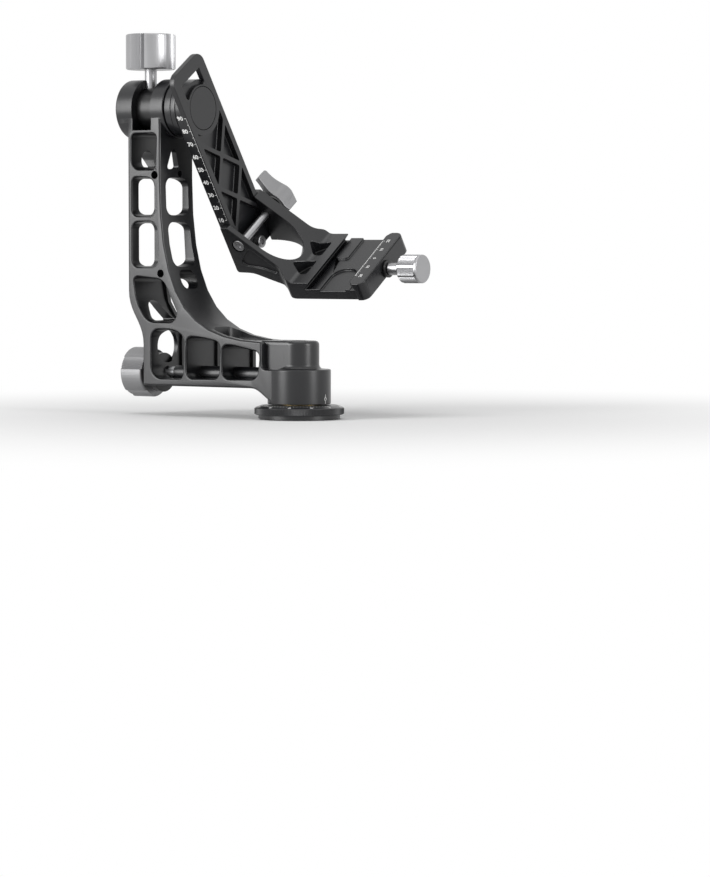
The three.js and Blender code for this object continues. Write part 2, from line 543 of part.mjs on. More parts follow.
function jawPockets() {
  return [-1, 1].map((side) => {
    const outline = roundedOutline([[-31, side * 3], [-31, side * 18.6], [-36, side * 18.2], [-43.4, side * 12.4], [-38, side * 4]], 2);
    const pocket = prism(outline, 'z', -124, -105, 3);
    return pocket;
  });
}

function makeCradle() {
  const side = prism(cradleOutline(), 'y', -CLAMP_HALF, CLAMP_HALF, 4);
  const plan = prism(cradlePlan(), 'z', -140, -70, 6);
  const channel = box([-90, -76.2], [-CHANNEL_HALF, CHANNEL_HALF], [-140, -70]);
  const underside = box([-90, -46], [-CHANNEL_HALF, CHANNEL_HALF], [-140, -114.6]);
  const sideRecess = prism(roundedOutline([[-65.5, -95.4, 2], [-75.4, -106.4, 2], [-73, -109.8, 2], [-61, -111.4, 6],
    [-50.5, -115.8, 1], [-47.4, -114.6, 1]]), 'y', -30, -WALL_HALF + 1.3, 3);
  const recess = prism(roundedOutline([[-16, -30], [4, -30], [4, -5, 9], [-16, -5, 9]]), 'z', -125.8, -120, 5);
  const step = prism(roundedOutline([[-22.5, 5, 3], [-12.5, 5, 3], [-12.5, CLAMP_HALF], [-22.5, CLAMP_HALF]]), 'z', -125, -122.8, 3);
  const bores = [
    cylinder(LOCK_ROD_R + GAP, 'y', -30, 30, [ROD_X, 0, ROD_Z]),
    cylinder(4.7, 'y', -30, -WALL_HALF + 2.3, [ROD_X, 0, ROD_Z]),
    cylinder(2.8, 'x', -14, 30, [0, 0, SCREW_Z], 12),
    ...[-20, 20].map((y) => cylinder(2.3, 'x', -9, 30, [0, y, -128.6], 10)),
    box([-81, -77], [18, 21.8], [-100, -88]),
  ];
  const body = cut(side.intersect(plan), openingSolid(), channel, underside, sideRecess, recess, ...jawPockets());
  place('cradle_bracket', cut(body.add(step), ...bores), anodised, swing);

  const headIn = -WALL_HALF + 1.9;
  const bolt = [[0, -WALL_HALF + 1.4], [1.7, -WALL_HALF + 1.4], [1.7, -WALL_HALF + 0.3], [3.3, -WALL_HALF + 0.3],
    [4.3, -WALL_HALF + 0.9], [4.3, headIn], [LOCK_ROD_R, headIn], [LOCK_ROD_R, 32], [0, 32]];
  place('cradle_lock_bolt', turnGeometry(bolt, 'y', [ROD_X, 0, ROD_Z], 16), polished, swing);
  place('plate_brake_shoe', box([-80.7, -77.3], [CHANNEL_HALF, 21.5], [-99.7, -88.3]), brass, swing);
  place('lever_washer', turnGeometry(ringProfile(LOCK_ROD_R + GAP, 8, WALL_HALF + GAP, WALL_HALF + 1.5), 'y', [ROD_X, 0, ROD_Z]),
    anodisedDark, swing);
}

// Height lock lever: a two-armed wing round a hub, drawn along its long arm
const LEVER_ANGLE = Math.atan2(0.852, -0.526);

function makeLever() {
  const plan = new THREE.Shape();
  plan.moveTo(20.4, 5.4);
  plan.lineTo(20.4, 0.9);
  plan.bezierCurveTo(13, 1.2, 8, -1, 5.4, -4);
  plan.absarc(0, 0, 6.6, -0.64, -2.2, true);
  plan.quadraticCurveTo(-6, -1.4, -10.1, 0.4);
  plan.lineTo(-10.1, 5.2);
  plan.quadraticCurveTo(-6, 5.2, -4, 5.8);
  plan.quadraticCurveTo(0, 7.4, 5, 5.4);
  plan.quadraticCurveTo(12, 4.2, 20.4, 5.4);
  const profile = roundedOutline([[20.6, 29], [20.6, 38.9, 2], [12, 39.5, 3], [4, 41.6, 3], [-4.5, 41.6, 3], [-10.4, 38.8, 1],
    [-10.4, 28.6], [-6.5, 27.4, 1], [9, 27.4, 2]]);
  const drawn = prism(plan, 'z', 20, 45, 6);
  const height = prism(profile, 'y', -12, 12, 3);
  const hub = cylinder(5.4, 'z', 25.3, 29);
  const bore = cylinder(LOCK_ROD_R + GAP, 'z', 20, 33.5);
  const lever = geometryOf(cut(join(drawn.intersect(height), hub), bore));
  lever.applyMatrix4(new THREE.Matrix4().set(1, 0, 0, 0, 0, 0, 1, 0, 0, -1, 0, 0, 0, 0, 0, 1));
  lever.rotateY(-LEVER_ANGLE);
  lever.translate(ROD_X, 0, ROD_Z);
  place('height_lever', lever, matteSilver, swing);
}

function groovedOutline() {
  const shape = new THREE.Shape();
  const count = 8;
  const rad = THREE.MathUtils.degToRad;
  for (let i = 0; i < count; i += 1) {
    const groove = i * 45;
    shape.absarc(0, 0, CLAMP_KNOB_R, rad(groove + 8), rad(groove + 37), false);
    shape.absarc(0, 0, CLAMP_KNOB_R - 0.8, rad(groove + 41), rad(groove + 49), false);
  }
  return shape;
}

// Clamp: the moving jaw with its guide pins, and the screw with its knob
function makeClamp() {
  const outline = roundedOutline([[MOVING_LIP_X, JAW_TOP], [JAW_OUT_X, JAW_TOP, 1], [JAW_OUT_X, CLAMP_BOTTOM, 1],
    [BODY_END_X + 0.4, CLAMP_BOTTOM], [BODY_END_X + 0.4, FLOOR_Z + 0.3], [MOVING_LIP_X, JAW_TOP - 0.7]]);
  const side = prism(outline, 'y', -30, 30, 3);
  const plan = prism(roundedOutline([[MOVING_LIP_X, -26.5], [10.6, -30, 1.5], [JAW_OUT_X, -30, 5.5], [JAW_OUT_X, 30, 5.5],
    [10.6, 30, 1.5], [MOVING_LIP_X, 26.5]]), 'z', -140, -100, 4);
  const pins = [-20, 20];
  const bores = [
    cylinder(2.8, 'x', 0, 30, [0, 0, SCREW_Z], 12),
    ...pins.map((y) => cylinder(2.3, 'x', 0, 18.8, [0, y, -128.6], 10)),
  ];
  place('moving_jaw', cut(side.intersect(plan), ...bores), anodised, swing);
  pins.forEach((y, i) => {
    place(`jaw_guide_pin_${i + 1}`, turnGeometry(rodProfile(2, -8, 18.5), 'x', [0, y, -128.6], 10), steel, swing);
  });
  place('clamp_thrust_washer', turnGeometry(ringProfile(2.8, 5.8, JAW_OUT_X + GAP, JAW_OUT_X + 2.1), 'x', [0, 0, SCREW_Z]), anodisedDark, swing);
  const neck = JAW_OUT_X + 2.4;
  const screw = [[0, -12], [2, -12], [2.5, -11.5], [2.5, neck], [4.2, neck], [4.2, CLAMP_KNOB_X[0] - GAP], [2.5, CLAMP_KNOB_X[0] - GAP],
    [2.5, 42], [0, 42]];
  place('clamp_screw', turnGeometry(screw, 'x', [0, 0, SCREW_Z], 16), steel, swing);
  const grip = prism(groovedOutline(), 'x', ...CLAMP_KNOB_X, 2, 0.9, [0, 0, SCREW_Z]);
  const dish = cylinder(6.6, 'x', CLAMP_KNOB_X[1] - 0.6, CLAMP_KNOB_X[1] + 1, [0, 0, SCREW_Z]);
  const bore = cylinder(2.8, 'x', CLAMP_KNOB_X[0] - 1, 42.3, [0, 0, SCREW_Z], 16);
  place('clamp_knob', cut(grip, dish, bore), polished, swing);
}

makeBase();
makeArm();
makeLockKnobs();
makeSwing();
makeCradle();
makeLever();
makeClamp();

export default head;
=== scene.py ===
"""Looks of the gimbal tripod head: machined and anodised parts, knobs, marks and studio."""
import json
import math

import bmesh
import bpy
from mathutils import Matrix, Vector


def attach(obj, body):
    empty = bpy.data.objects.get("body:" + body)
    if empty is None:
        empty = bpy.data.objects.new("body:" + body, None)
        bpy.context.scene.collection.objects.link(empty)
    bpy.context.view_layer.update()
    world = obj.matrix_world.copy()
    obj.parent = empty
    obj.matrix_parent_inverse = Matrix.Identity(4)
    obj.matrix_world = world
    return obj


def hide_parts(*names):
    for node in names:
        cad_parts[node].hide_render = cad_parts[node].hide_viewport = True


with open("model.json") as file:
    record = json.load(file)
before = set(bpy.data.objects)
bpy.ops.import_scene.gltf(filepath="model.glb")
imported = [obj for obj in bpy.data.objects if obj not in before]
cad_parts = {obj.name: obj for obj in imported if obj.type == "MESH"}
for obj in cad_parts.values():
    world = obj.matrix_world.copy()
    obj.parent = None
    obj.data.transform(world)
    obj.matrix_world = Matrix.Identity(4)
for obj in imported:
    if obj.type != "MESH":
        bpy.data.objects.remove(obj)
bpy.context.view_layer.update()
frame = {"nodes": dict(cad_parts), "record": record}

bl_info = {
    "name": "Gimbal tripod head",
    "version": (1, 0, 0),
    "blender": (4, 5, 0),
    "location": "3D View > Sidebar > Gimbal head",
    "description": "Builds the finished look of a gimbal tripod head on its CAD frame",
    "category": "Object",
}

# Shapes are drawn in millimetres and finished in metres
MM = 0.001
BASE_R = 29
COLLAR_R = 20.5
BOSS_R = 13
ARM_HALF = 18.4
AXIS_Z = 201.4
ROD_BORE = 4.3
PAN_ROD = (0, 0, 27.5)
TILT_ROD = (-119.5, 0, 0)
KNOB_R = 16.5
PLATE_HALF = 19
LOCK_ROD = (-72.8, 0, -93.8)
JAW_TOP = -119.3
CLAMP_SCREW = (0, 0, -127.7)
GUIDE_PINS = ((0, -20, -128.6), (0, 20, -128.6))
SWING = Matrix.Translation((0, 0, AXIS_Z)) @ Matrix.Rotation(math.radians(34.5), 4, "X")

# A flat outline lies in (Y, Z), (X, Z) or (X, Y) and is thickened along the axis named
FLAT = {
    "x": Matrix(((0, 0, 1, 0), (1, 0, 0, 0), (0, 1, 0, 0), (0, 0, 0, 1))),
    "y": Matrix(((1, 0, 0, 0), (0, 0, -1, 0), (0, 1, 0, 0), (0, 0, 0, 1))),
    "z": Matrix.Identity(4),
}
# A turned profile is (radius, length), and its length runs along the axis named
ALONG = {
    "x": FLAT["x"],
    "y": Matrix(((0, 1, 0, 0), (0, 0, 1, 0), (1, 0, 0, 0), (0, 0, 0, 1))),
    "z": Matrix.Identity(4),
}


# Bodies whose pieces are drawn in the swing's own frame
TILTED = ("swing", "cradle", "height_lock", "jaw", "clamp_drive")


def metres(name, about, value, low, high):
    return bpy.props.FloatProperty(name=name, description=about, default=value, min=low, max=high,
                                   subtype="DISTANCE", unit="LENGTH")


def tint(name, about, value):
    return bpy.props.FloatVectorProperty(name=name, description=about, default=value, size=3, min=0, max=1,
                                         subtype="COLOR")


class GimbalHeadSizes(bpy.types.PropertyGroup):
    """Sizes of the machined details."""
    arm_edge: metres("Arm edge", "Chamfer on the arm's outline and windows", 0.0012, 0.0003, 0.0014)
    fine_edge: metres("Fine edge", "Small broken edges of cradle, jaw and plate", 0.0005, 0.0001, 0.0006)
    tooth_depth: metres("Tooth depth", "Depth of the lock knobs' serrations", 0.00055, 0.0002, 0.0008)
    rim_teeth: bpy.props.IntProperty(
        name="Rim teeth", description="Number of teeth round the base", default=190, min=90, max=240)
    mark_width: metres("Mark width", "Width of the engraved lines", 0.00028, 0.0001, 0.0006)


class GimbalHeadColours(bpy.types.PropertyGroup):
    """Colours of the finishes."""
    anodised: tint("Anodised", "Black anodised aluminium", (0.007, 0.0072, 0.0085))
    dark: tint("Dark anodised", "Sleeve, collar and washers", (0.005, 0.005, 0.0055))
    bright: tint("Bright aluminium", "Tilt knob, its rod and the clamp knob", (0.37, 0.37, 0.378))
    grey: tint("Grey aluminium", "Pan knob and height lever", (0.26, 0.26, 0.265))
    steel: tint("Steel", "Rods, screws and bearings", (0.45, 0.455, 0.465))
    brass: tint("Brass", "Thrust washer, brake pads and shoe", (0.62, 0.45, 0.2))
    paint: tint("Mark paint", "White paint in the engraved marks", (0.86, 0.86, 0.85))


class GimbalHeadStage(bpy.types.PropertyGroup):
    """Studio settings."""
    floor: tint("Floor", "Colour of the studio floor", (0.93, 0.93, 0.93))
    key: bpy.props.FloatProperty(
        name="Key light", description="Power of the large soft light", default=28, min=0, subtype="POWER")
    lens: bpy.props.FloatProperty(
        name="Lens", description="Focal length in millimetres", default=139.6, min=20, max=300)


def size(name):
    """One of the sizes, in millimetres."""
    return getattr(bpy.context.scene.gimbal_head_sizes, name) / MM


# Outlines

class Outline:
    """A closed flat outline of straight and curved stretches."""

    def __init__(self, x, y):
        self.knots = [[Vector((x, y)), None, None]]

    def line(self, x, y):
        self.knots.append([Vector((x, y)), None, None])
        return self

    def curve(self, first, second, end):
        """A Bezier stretch with its two handles."""
        self.knots[-1][2] = Vector(first)
        self.knots.append([Vector(end), Vector(second), None])
        return self

    def bend(self, corner, end):
        """A stretch that bends once, round the corner."""
        corner, end, start = Vector(corner), Vector(end), self.knots[-1][0]
        return self.curve(start.lerp(corner, 2 / 3), end.lerp(corner, 2 / 3), end)

    def arc(self, centre, radius, start, end):
        """An arc from one angle to another, in degrees, joined to what came before by a line."""
        count = max(1, math.ceil(abs(end - start) / 60))
        step = math.radians(end - start) / count
        reach = 4 / 3 * math.tan(step / 4) * radius
        centre = Vector(centre)
        for i in range(count + 1):
            angle = math.radians(start) + i * step
            point = centre + radius * Vector((math.cos(angle), math.sin(angle)))
            along = reach * Vector((-math.sin(angle), math.cos(angle)))
            if i:
                self.knots[-1][2] = before
                self.knots.append([point, point - along, None])
            elif self.knots[-1][0] is None or (self.knots[-1][0] - point).length > 1e-6:
                self.knots.append([point, None, None])
            before = point + along
        return self

    def closed(self):
        """The knots, with the last one merged into the first where they meet."""
        first, last = self.knots[0], self.knots[-1]
        if len(self.knots) > 2 and (first[0] - last[0]).length < 1e-6:
            return [[first[0], last[1], first[2]]] + self.knots[1:-1]
        return self.knots


def rounded(points, radius=0.0):
    """A closed outline through corners (x, y, size), each rounded over that length of its sides."""
    corners = [Vector(p[:2]) for p in points]
    outline = None
    for i, corner in enumerate(corners):
        size = points[i][2] if len(points[i]) > 2 else radius
        back = (corners[i - 1] - corner).normalized()
        ahead = (corners[(i + 1) % len(corners)] - corner).normalized()
        start, end = corner + back * size, corner + ahead * size
        if outline is None:
            outline = Outline(*start)
        else:
            outline.line(*start)
        if size > 0:
            inside = back.angle(ahead)
            reach = 4 / 3 * math.tan((math.pi - inside) / 4) * size * math.tan(inside / 2)
            outline.curve(start - back * reach, end - ahead * reach, end)
    return outline


def oblong(x, y, radius):
    return rounded([(x[0], y[0]), (x[1], y[0]), (x[1], y[1]), (x[0], y[1])], radius)


def mirrored(points):
    """Corner points with Y turned to the other side, in the same order round the shape."""
    return [(p[0], -p[1], *p[2:]) for p in reversed(points)]


def hexagon(radius, x=0, y=0):
    return rounded([(x + radius * math.cos(i * math.pi / 3), y + radius * math.sin(i * math.pi / 3))
                    for i in range(6)])


def on_circle(radius, degrees):
    return radius * math.cos(math.radians(degrees)), radius * math.sin(math.radians(degrees))


def toothed(shape, high, low, first, last, teeth):
    """Adds teeth along an arc from one angle to another, in degrees."""
    for k in range(teeth + 1):
        a = math.radians(first + (last - first) * k / teeth)
        shape.line(high * math.cos(a), high * math.sin(a))
        if k < teeth:
            a += math.radians((last - first) / teeth / 2)
            shape.line(low * math.cos(a), low * math.sin(a))


# Solids

class Solid:
    """A closed mesh in millimetres that can be joined with others and cut by them."""

    def __init__(self, bm):
        bmesh.ops.remove_doubles(bm, verts=bm.verts, dist=1e-4)
        bmesh.ops.dissolve_degenerate(bm, edges=bm.edges, dist=1e-5)
        bmesh.ops.recalc_face_normals(bm, faces=bm.faces)
        mesh = bpy.data.meshes.new("shape")
        bm.to_mesh(mesh)
        bm.free()
        self.object = bpy.data.objects.new("shape", mesh)
        bpy.context.scene.collection.objects.link(self.object)

    def moved(self, matrix):
        self.object.data.transform(matrix)
        return self

    def settle(self):
        """Puts what the modifiers make into the mesh itself."""
        old = self.object.data
        graph = bpy.context.evaluated_depsgraph_get()
        mesh = bpy.data.meshes.new_from_object(self.object.evaluated_get(graph))
        self.object.modifiers.clear()
        self.object.data = mesh
        bpy.data.meshes.remove(old)
        return self

    def remove(self):
        mesh = self.object.data
        bpy.data.objects.remove(self.object)
        bpy.data.meshes.remove(mesh)

    def _with(self, operation, others):
        for other in others:
            step = self.object.modifiers.new(operation, "BOOLEAN")
            step.operation = operation
            step.solver = "MANIFOLD"
            step.object = other.object
        self.settle()
        for other in others:
            other.remove()
        if not self.object.data.polygons:
            raise RuntimeError("nothing is left of a shape after " + operation)
        return self

    def join(self, *others):
        return self._with("UNION", others)

    def cut(self, *others):
        return self._with("DIFFERENCE", others)

    def keep(self, *others):
        return self._with("INTERSECT", others)

    def edit(self, work):
        """Runs one step of mesh work on the solid."""
        bm = bmesh.new()
        bm.from_mesh(self.object.data)
        work(bm)
        bm.to_mesh(self.object.data)
        bm.free()
        return self

    def tidied(self):
        """Joins faces that lie in one plane."""
        def work(bm):
            bmesh.ops.remove_doubles(bm, verts=bm.verts, dist=1e-3)
            bmesh.ops.dissolve_limit(bm, angle_limit=math.radians(0.6), verts=bm.verts, edges=bm.edges,
                                     use_dissolve_boundaries=False)
        return self.edit(work)

    def soften(self, width, segments=2, angle=35):
        """Breaks every edge sharper than the angle."""
        self.tidied()
        step = self.object.modifiers.new("edges", "BEVEL")
        step.width = width
        step.segments = segments
        step.limit_method = "ANGLE"
        step.angle_limit = math.radians(angle)
        step.use_clamp_overlap = False
        return self.settle()

    def break_edges(self, width, chosen, segments=2):
        """Rounds the sharp edges for which chosen(edge, middle) is true."""
        def work(bm):
            least = math.radians(35)
            sharp = [e for e in bm.edges if len(e.link_faces) == 2 and e.calc_face_angle(0) > least]
            edges = [e for e in sharp if chosen(e, (e.verts[0].co + e.verts[1].co) / 2)]
            bmesh.ops.bevel(bm, geom=edges, offset=width, offset_type="OFFSET", segments=segments,
                            profile=0.5, affect="EDGES", clamp_overlap=False, material=-1)
        return self.edit(work)


def slab(outline, axis, low, high, edge=0.0, rounds=1, holes=(), detail=8):
    """A solid of one thickness with that outline and holes, and rounded edges if asked."""
    drawing = bpy.data.curves.new("outline", "CURVE")
    drawing.dimensions = "2D"
    drawing.fill_mode = "BOTH"
    drawing.resolution_u = detail
    drawing.extrude = (high - low) / 2 - edge
    drawing.bevel_depth = edge
    drawing.bevel_resolution = rounds
    drawing.offset = -edge
    for shape in (outline, *holes):
        knots = shape.closed()
        spline = drawing.splines.new("BEZIER")
        spline.bezier_points.add(len(knots) - 1)
        spline.use_cyclic_u = True
        for point, (place, before, after) in zip(spline.bezier_points, knots):
            point.handle_left_type = "VECTOR" if before is None else "FREE"
            point.handle_right_type = "VECTOR" if after is None else "FREE"
            point.co = (*place, 0)
            point.handle_left = (*(before or place), 0)
            point.handle_right = (*(after or place), 0)
    sheet = bpy.data.objects.new("outline", drawing)
    bpy.context.scene.collection.objects.link(sheet)
    graph = bpy.context.evaluated_depsgraph_get()
    mesh = bpy.data.meshes.new_from_object(sheet.evaluated_get(graph))
    bpy.data.objects.remove(sheet)
    bpy.data.curves.remove(drawing)
    bm = bmesh.new()
    bm.from_mesh(mesh)
    bpy.data.meshes.remove(mesh)
    middle = (low + high) / 2
    if axis == "y":
        middle = -middle
    bmesh.ops.transform(bm, matrix=FLAT[axis] @ Matrix.Translation((0, 0, middle)), verts=bm.verts)
    return Solid(bm)


def turned(profile, axis, at=(0, 0, 0), steps=72):
    """A turned solid. A profile that ends where it starts makes a ring."""
    bm = bmesh.new()
    ring = profile[0] == profile[-1]
    points = [bm.verts.new((r, 0, length)) for r, length in (profile[:-1] if ring else profile)]
    edges = [bm.edges.new(pair) for pair in zip(points, points[1:])]
    if ring:
        edges.append(bm.edges.new((points[-1], points[0])))
    bmesh.ops.spin(bm, geom=points + edges, cent=(0, 0, 0), axis=(0, 0, 1), angle=2 * math.pi, steps=steps,
                   use_merge=True)
    bmesh.ops.transform(bm, matrix=Matrix.Translation(at) @ ALONG[axis], verts=bm.verts)
    return Solid(bm)


def rod(radius, axis, low, high, at=(0, 0, 0), steps=48):
    return turned([(0, low), (radius, low), (radius, high), (0, high)], axis, at, steps)


def ring(inner, outer, axis, low, high, at=(0, 0, 0), steps=72):
    profile = [(inner, low), (outer, low), (outer, high), (inner, high), (inner, low)]
    return turned(profile, axis, at, steps)


def block(x, y, z):
    bm = bmesh.new()
    bmesh.ops.create_cube(bm, size=1)
    size = (x[1] - x[0], y[1] - y[0], z[1] - z[0])
    middle = ((x[0] + x[1]) / 2, (y[0] + y[1]) / 2, (z[0] + z[1]) / 2)
    bmesh.ops.transform(bm, matrix=Matrix.Translation(middle) @ Matrix.Diagonal((*size, 1)), verts=bm.verts)
    return Solid(bm)


def piece(name, solid, kind, body, *nodes, smooth=50, even=True):
    """Turns a solid into a piece with that kind of finish, which stands for its CAD nodes."""
    made = solid.object
    made.name = name
    made.data.name = name
    if body in TILTED:
        made.data.transform(SWING)
    made.data.transform(Matrix.Diagonal((MM, MM, MM, 1)))
    made.data.materials.clear()
    made.data.materials.append(finish(kind))
    made.data.shade_smooth()
    made.data.set_sharp_from_angle(angle=math.radians(smooth))
    if even:
        normals = made.modifiers.new("even shading", "WEIGHTED_NORMAL")
        normals.keep_sharp = True
    if nodes:
        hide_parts(*nodes)
    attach(made, body)
    return made


# Finishes

class Channel:
    """A socket of a finish that can be used in sums like a number."""

    def __init__(self, finish, socket):
        self.finish = finish
        self.socket = socket

    def _sum(self, operation, first, second):
        return self.finish.node("ShaderNodeMath", {"operation": operation}, {0: first, 1: second})

    def __add__(self, other):
        return self._sum("ADD", self, other)

    def __radd__(self, other):
        return self._sum("ADD", other, self)

    def __mul__(self, other):
        return self._sum("MULTIPLY", self, other)

    def __rmul__(self, other):
        return self._sum("MULTIPLY", other, self)


class Finish:
    """A material under construction."""

    def __init__(self, name, **shader):
        self.material = bpy.data.materials.new(name)
        self.material.use_nodes = True
        self.tree = self.material.node_tree
        self.shader = self.tree.nodes["Principled BSDF"]
        for socket, value in shader.items():
            self.set(socket.replace("_", " "), value)
        self.place = self.node("ShaderNodeTexCoord", {}, {}, "Object")

    def node(self, kind, settings, inputs, output=0):
        made = self.tree.nodes.new(kind)
        for name, value in settings.items():
            if name == "stops":
                ramp = made.color_ramp
                while len(ramp.elements) < len(value):
                    ramp.elements.new(0.5)
                for element, (position, shade) in zip(ramp.elements, value):
                    element.position = position
                    element.color = (*shade, 1)
            else:
                setattr(made, name, value)
        for name, value in inputs.items():
            self._feed(made.inputs[name], value)
        return Channel(self, made.outputs[output])

    def _feed(self, socket, value):
        if isinstance(value, Channel):
            self.tree.links.new(value.socket, socket)
        elif socket.type == "RGBA" and len(value) == 3:
            socket.default_value = (*value, 1)
        else:
            socket.default_value = value

    def set(self, socket, value):
        self._feed(self.shader.inputs[socket], value)

    def mix(self, share, first, second):
        return self.node("ShaderNodeMix", {"data_type": "RGBA", "clamp_factor": True},
                         {0: share, 6: first, 7: second}, 2)

    def stretched(self, scale):
        return self.node("ShaderNodeMapping", {}, {"Vector": self.place, "Scale": scale})

    def noise(self, scale, detail=2.0, rough=0.5, place=None):
        inputs = {"Vector": place or self.place, "Scale": scale, "Detail": detail, "Roughness": rough}
        return self.node("ShaderNodeTexNoise", {}, inputs)

    def bump(self, height, distance, strength=1.0):
        made = self.node("ShaderNodeBump", {}, {"Height": height, "Distance": distance, "Strength": strength})
        self.set("Normal", made)


def shaded(colour, factor):
    return tuple(min(1.0, c * factor) for c in colour)


def anodised_finish(name, colour, rough):
    """Bead-blasted and anodised: an even satin with a fine grain and slightly uneven dye."""
    made = Finish(name, Metallic=0.1, Roughness=rough, Specular_IOR_Level=0.6)
    patch = made.noise(28.0, 3.0, 0.55)
    grain = made.noise(2600.0, 3.0, 0.6)
    speck = made.noise(900.0, 2.0, 0.5)
    made.set("Base Color", made.mix(patch * 0.6 + speck * 0.4, shaded(colour, 0.86), shaded(colour, 1.16)))
    made.set("Roughness", rough - 0.07 + 0.1 * patch + 0.06 * speck)
    made.bump(grain, 0.000008, 0.35)
    return made.material


def bright_finish(name, colour, rough, axis):
    """Turned bright metal: fine lines round the axis it was turned on."""
    made = Finish(name, Metallic=1.0, Roughness=rough)
    scale = {"x": (1, 0.02, 0.02), "y": (0.02, 1, 0.02), "z": (0.02, 0.02, 1)}[axis]
    lines = made.noise(5200.0, 3.0, 0.6, made.stretched(scale))
    haze = made.noise(60.0, 2.0, 0.5)
    made.set("Base Color", made.mix(lines * 0.5 + haze * 0.5, shaded(colour, 0.9), shaded(colour, 1.08)))
    made.set("Roughness", rough - 0.05 + 0.07 * lines + 0.05 * haze)
    made.bump(lines, 0.00001, 0.3)
    return made.material


def blasted_finish(name, colour, rough):
    """Matte blasted and clear anodised aluminium."""
    made = Finish(name, Metallic=0.85, Roughness=rough)
    grain = made.noise(3000.0, 3.0, 0.65)
    patch = made.noise(45.0, 2.0, 0.5)
    made.set("Base Color", made.mix(grain * 0.5 + patch * 0.5, shaded(colour, 0.9), shaded(colour, 1.1)))
    made.set("Roughness", rough - 0.05 + 0.1 * patch)
    made.bump(grain, 0.00004, 0.4)
    return made.material


def steel_finish(name, colour, rough):
    """Turned steel or brass with light smears."""
    made = Finish(name, Metallic=1.0, Roughness=rough)
    smear = made.noise(90.0, 4.0, 0.6)
    grain = made.noise(2200.0, 2.0, 0.5)
    made.set("Base Color", made.mix(smear, shaded(colour, 0.82), shaded(colour, 1.12)))
    made.set("Roughness", rough - 0.08 + 0.16 * smear)
    made.bump(grain, 0.00002, 0.3)
    return made.material


def paint_finish(name, colour):
    """White paint in engraved marks, a little uneven."""
    made = Finish(name, Roughness=0.6)
    patch = made.noise(1500.0, 2.0, 0.6)
    made.set("Base Color", made.mix(patch, shaded(colour, 0.9), colour))
    made.bump(patch, 0.00002, 0.3)
    return made.material


def finish(kind):
    """A finish by kind, made the first time that it is asked for."""
    name = "finish_" + kind
    if name in bpy.data.materials:
        return bpy.data.materials[name]
    colours = bpy.context.scene.gimbal_head_colours
    makers = {
        "anodised_black": lambda: anodised_finish(name, colours.anodised, 0.3),
        "anodised_dark": lambda: anodised_finish(name, colours.dark, 0.33),
        "bright_upright": lambda: bright_finish(name, colours.bright, 0.36, "z"),
        "bright_across": lambda: bright_finish(name, colours.bright, 0.34, "x"),
        "grey_aluminium": lambda: blasted_finish(name, colours.grey, 0.5),
        "steel": lambda: steel_finish(name, colours.steel, 0.3),
        "brass": lambda: steel_finish(name, colours.brass, 0.34),
        "mark_paint": lambda: paint_finish(name, colours.paint),
    }
    return makers[kind]()


# Marks

def facing(origin, across, up):
    """A matrix at the origin whose X runs across and whose Y runs up."""
    across, up = Vector(across).normalized(), Vector(up).normalized()
    made = Matrix((across, up, across.cross(up))).transposed().to_4x4()
    made.translation = Vector(origin)
    return made


def mark_bar(bm, width, length, matrix):
    """One painted line, with its width along the matrix's X and its length along Y."""
    made = bmesh.ops.create_cube(bm, size=1)
    bmesh.ops.transform(bm, matrix=matrix @ Matrix.Diagonal((width, length, 0.06, 1)), verts=made["verts"])


def mark_figures(bm, words, size, matrix):
    """Painted figures, centred on the matrix's origin."""
    drawing = bpy.data.curves.new("figures", "FONT")
    drawing.body = words
    drawing.size = size
    drawing.align_x = "CENTER"
    drawing.align_y = "CENTER"
    drawing.resolution_u = 3
    drawing.offset = 0.02 * size
    drawing.extrude = 0.03
    shown = bpy.data.objects.new("figures", drawing)
    bpy.context.scene.collection.objects.link(shown)
    mesh = bpy.data.meshes.new_from_object(shown.evaluated_get(bpy.context.evaluated_depsgraph_get()))
    bpy.data.objects.remove(shown)
    bpy.data.curves.remove(drawing)
    before = set(bm.verts)
    bm.from_mesh(mesh)
    bpy.data.meshes.remove(mesh)
    bmesh.ops.transform(bm, matrix=matrix, verts=[v for v in bm.verts if v not in before])


def marks(name, bm, body):
    return piece(name, Solid(bm), "mark_paint", body, smooth=30, even=False)


# Base

BASE_SCREWS = [(12.5 * math.cos(a), 12.5 * math.sin(a), 0) for a in (0, 2 * math.pi / 3, 4 * math.pi / 3)]


def base_disc():
    sizes = bpy.context.scene.gimbal_head_sizes
    bm = bmesh.new()
    made = bmesh.ops.create_circle(bm, cap_ends=True, segments=2 * sizes.rim_teeth, radius=BASE_R)
    shrink = (BASE_R - 0.32) / BASE_R
    for i, v in enumerate(made["verts"]):
        if i % 2:
            v.co *= shrink
    grown = bmesh.ops.extrude_face_region(bm, geom=bm.faces[:])
    upper = [v for v in grown["geom"] if isinstance(v, bmesh.types.BMVert)]
    bmesh.ops.translate(bm, vec=(0, 0, 3.7), verts=upper)
    bmesh.ops.translate(bm, vec=(0, 0, 3.1), verts=bm.verts)
    teeth = Solid(bm)
    disc = turned([(0, 0), (26.4, 0), (26.4, 2.6), (28.1, 2.6), (28.6, 3.1), (28.6, 6.9), (28.3, 7.3),
                   (24.6, 8.6), (24.2, 8.7), (0, 8.7)], "z", steps=120)
    disc.join(teeth)
    disc.cut(turned([(0, -1), (8.9, -1), (8.3, 0.4), (8.3, 10), (0, 10)], "z"), rod(17.3, "z", 4.9, 10))
    for at in BASE_SCREWS:
        countersink = turned([(0, -1), (3.7, -1), (3.2, 0.3), (3.2, 2.9), (0, 2.9)], "z", at, 32)
        disc.cut(rod(1.9, "z", -1, 6, at, 24), countersink)
    disc.cut(ring(21.5, 22.3, "z", -1, 0.35))
    return disc.tidied()


